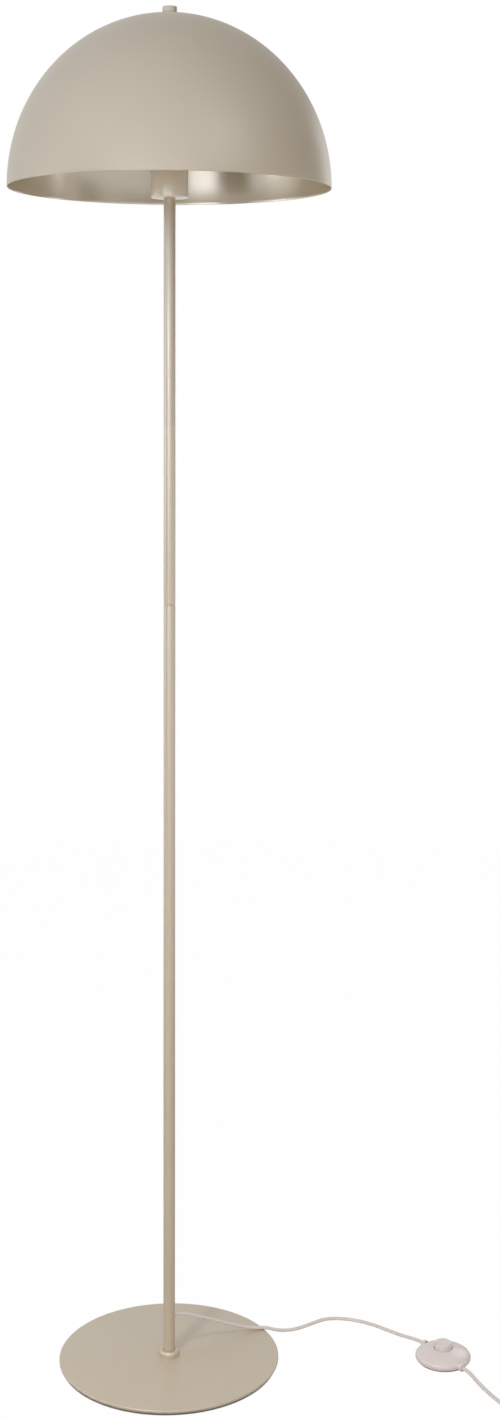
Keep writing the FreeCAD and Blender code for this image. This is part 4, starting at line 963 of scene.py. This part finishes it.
near_white = add(
    floor_tree, "ShaderNodeMath", {0: kind["Is Camera Ray"], 1: outside_base}, operation="MULTIPLY"
)
share = add(
    floor_tree,
    "ShaderNodeMath",
    {0: far_white.outputs[0], 1: near_white.outputs[0]},
    operation="MAXIMUM",
)
white = add(floor_tree, "ShaderNodeEmission", {"Color": paint("#FFFFFF"), "Strength": 1.0})
joined = add(
    floor_tree,
    "ShaderNodeMixShader",
    {0: share.outputs[0], 1: floor_shader.outputs["BSDF"], 2: white.outputs["Emission"]},
)
show(floor_tree, joined.outputs["Shader"])
floor.data.materials.append(pale)
print("the floor fades to white within", FADE_END, "m")

# %% [markdown]
# ### The light all round
# The room is white, a little cooler where it is mirrored. What shines sees it brightest towards
# the window, at the front left, and somewhat brighter behind the lamp, where the backdrop hangs.
# What is dull gets an even, weaker light, and the camera sees plain white.

# %% The light all round
WINDOW_SIDE = (-0.76, -0.64, 0.10)  # the side that the room is brightest on
BACKDROP_SIDE = (0.0, 1.0, 0.0)

world = bpy.data.worlds.new("studio")
bpy.context.scene.world = world
world.use_nodes = True
sky = world.node_tree
sky.nodes.clear()
rays = add(sky, "ShaderNodeLightPath")
seen = add(
    sky,
    "ShaderNodeMath",
    {0: rays.outputs["Is Camera Ray"], 1: rays.outputs["Is Transmission Ray"]},
    operation="MAXIMUM",
)
heading = add(sky, "ShaderNodeTexCoord").outputs["Generated"]


def brighter_towards(side, start, end, strength):
    """A light level that rises with the heading's nearness to one side of the room."""
    nearness = add(sky, "ShaderNodeVectorMath", {0: heading, 1: side}, operation="DOT_PRODUCT")
    level = add(
        sky,
        "ShaderNodeMapRange",
        {
            "Value": nearness.outputs["Value"],
            "From Min": start,
            "From Max": end,
            "To Max": strength,
        },
    )
    return level.outputs["Result"]


sheen = add(
    sky,
    "ShaderNodeMath",
    {
        0: brighter_towards(WINDOW_SIDE, -1.1, 1.0, 2.0),
        1: brighter_towards(BACKDROP_SIDE, 0.5, 1.0, 0.5),
    },
)
soft = add(sky, "ShaderNodeBackground", {"Color": paint("#FFFDFA"), "Strength": 0.46})
mirrored = add(
    sky, "ShaderNodeBackground", {"Color": paint("#F2F8FF"), "Strength": sheen.outputs[0]}
)
plain = add(sky, "ShaderNodeBackground", {"Color": paint("#FFFFFF"), "Strength": 1.0})
lit = add(
    sky,
    "ShaderNodeMixShader",
    {0: rays.outputs["Is Glossy Ray"], 1: soft.outputs[0], 2: mirrored.outputs[0]},
)
both = add(sky, "ShaderNodeMixShader", {0: seen.outputs[0], 1: lit.outputs[0], 2: plain.outputs[0]})
add(sky, "ShaderNodeOutputWorld", {"Surface": both.outputs["Shader"]})
print("world strength %.2f" % soft.inputs["Strength"].default_value)

# %% [markdown]
# ### The studio's lamps
# Eight soft boxes, placed until the shades on the lamp came near the photograph's. The
# window's light comes from the front left, and a small box that points down there lights the
# base. One behind at the right draws the far edge, one hangs over the floor, and weak ones stand
# in front, at the left and at the right. A fill high at the front right softens the rest.


# %% The studio's lamps
def soft_box(name, place, target, width, height, power, colour="#FFFFFF"):
    """A rectangular studio light at a place, aimed at a target, in watts."""
    light = bpy.data.lights.new(name, "AREA")
    light.shape = "RECTANGLE"
    light.size = width
    light.size_y = height
    light.energy = power
    light.color = paint(colour)[:3]
    holder = bpy.data.objects.new(name, light)
    bpy.context.collection.objects.link(holder)
    holder.location = place
    aim = Vector(target) - Vector(place)
    holder.rotation_mode = "QUATERNION"
    holder.rotation_quaternion = aim.to_track_quat("-Z", "Y")
    return holder


soft_box("window_light", (-1.0, -2.05, 1.05), (0, 0, 1.1), 0.8, 1.2, 6)
soft_box("base_light", (-0.42, -0.85, 1.25), (-0.42, -0.8501, 0), 0.11, 0.11, 5.6)
soft_box("edge_light", (1.4, 1.95, 1.5), (0, 0, 1.35), 0.5, 1.2, 6)
soft_box("floor_light", (0.0, -0.45, 1.05), (0, -0.4501, 0), 2.4, 1.2, 1.2)
soft_box("front_light", (0.1, -2.3, 1.1), (0, 0, 1.3), 0.3, 0.8, 2.5)
soft_box("left_light", (-1.9, 0.1, 1.0), (0, 0, 1.3), 0.7, 0.6, 2)
soft_box("right_light", (1.9, 0.2, 0.95), (0, 0, 1.3), 0.4, 0.6, 1.5)
soft_box("fill_light", (1.6, -2.0, 2.6), (0, 0, 0.4), 1.4, 1.0, 5)

# %% [markdown]
# ### The black flag
# A photographer stands black cloth at the left, and the inside of the dome mirrors it as one
# dark band beside the bright window. Only what shines has to see it, so the cloth is clear to
# every ray that isn't a reflection, and it doesn't show in other views.

# %% The black flag
flag_mesh = bpy.data.meshes.new("black_flag")
flag_mesh.from_pydata(
    [(-2.20, -1.00, 0.05), (-1.56, -1.88, 0.05), (-1.56, -1.88, 1.2), (-2.20, -1.00, 1.2)],
    [],
    [(0, 1, 2, 3)],
)
flag = bpy.data.objects.new("black_flag", flag_mesh)
bpy.context.collection.objects.link(flag)
felt, felt_tree, felt_shader = finish("black_felt", 1.0)
felt_shader.inputs["Base Color"].default_value = paint("#1A1917")
felt_shader.inputs["Specular IOR Level"].default_value = 0.0
only_shine = add(
    felt_tree,
    "ShaderNodeMixShader",
    {
        0: add(felt_tree, "ShaderNodeLightPath").outputs["Is Glossy Ray"],
        1: add(felt_tree, "ShaderNodeBsdfTransparent").outputs["BSDF"],
        2: felt_shader.outputs["BSDF"],
    },
)
show(felt_tree, only_shine.outputs["Shader"])
flag_mesh.materials.append(felt)
bpy.context.scene.view_settings.view_transform = "Standard"
print("the flag is", felt.name)
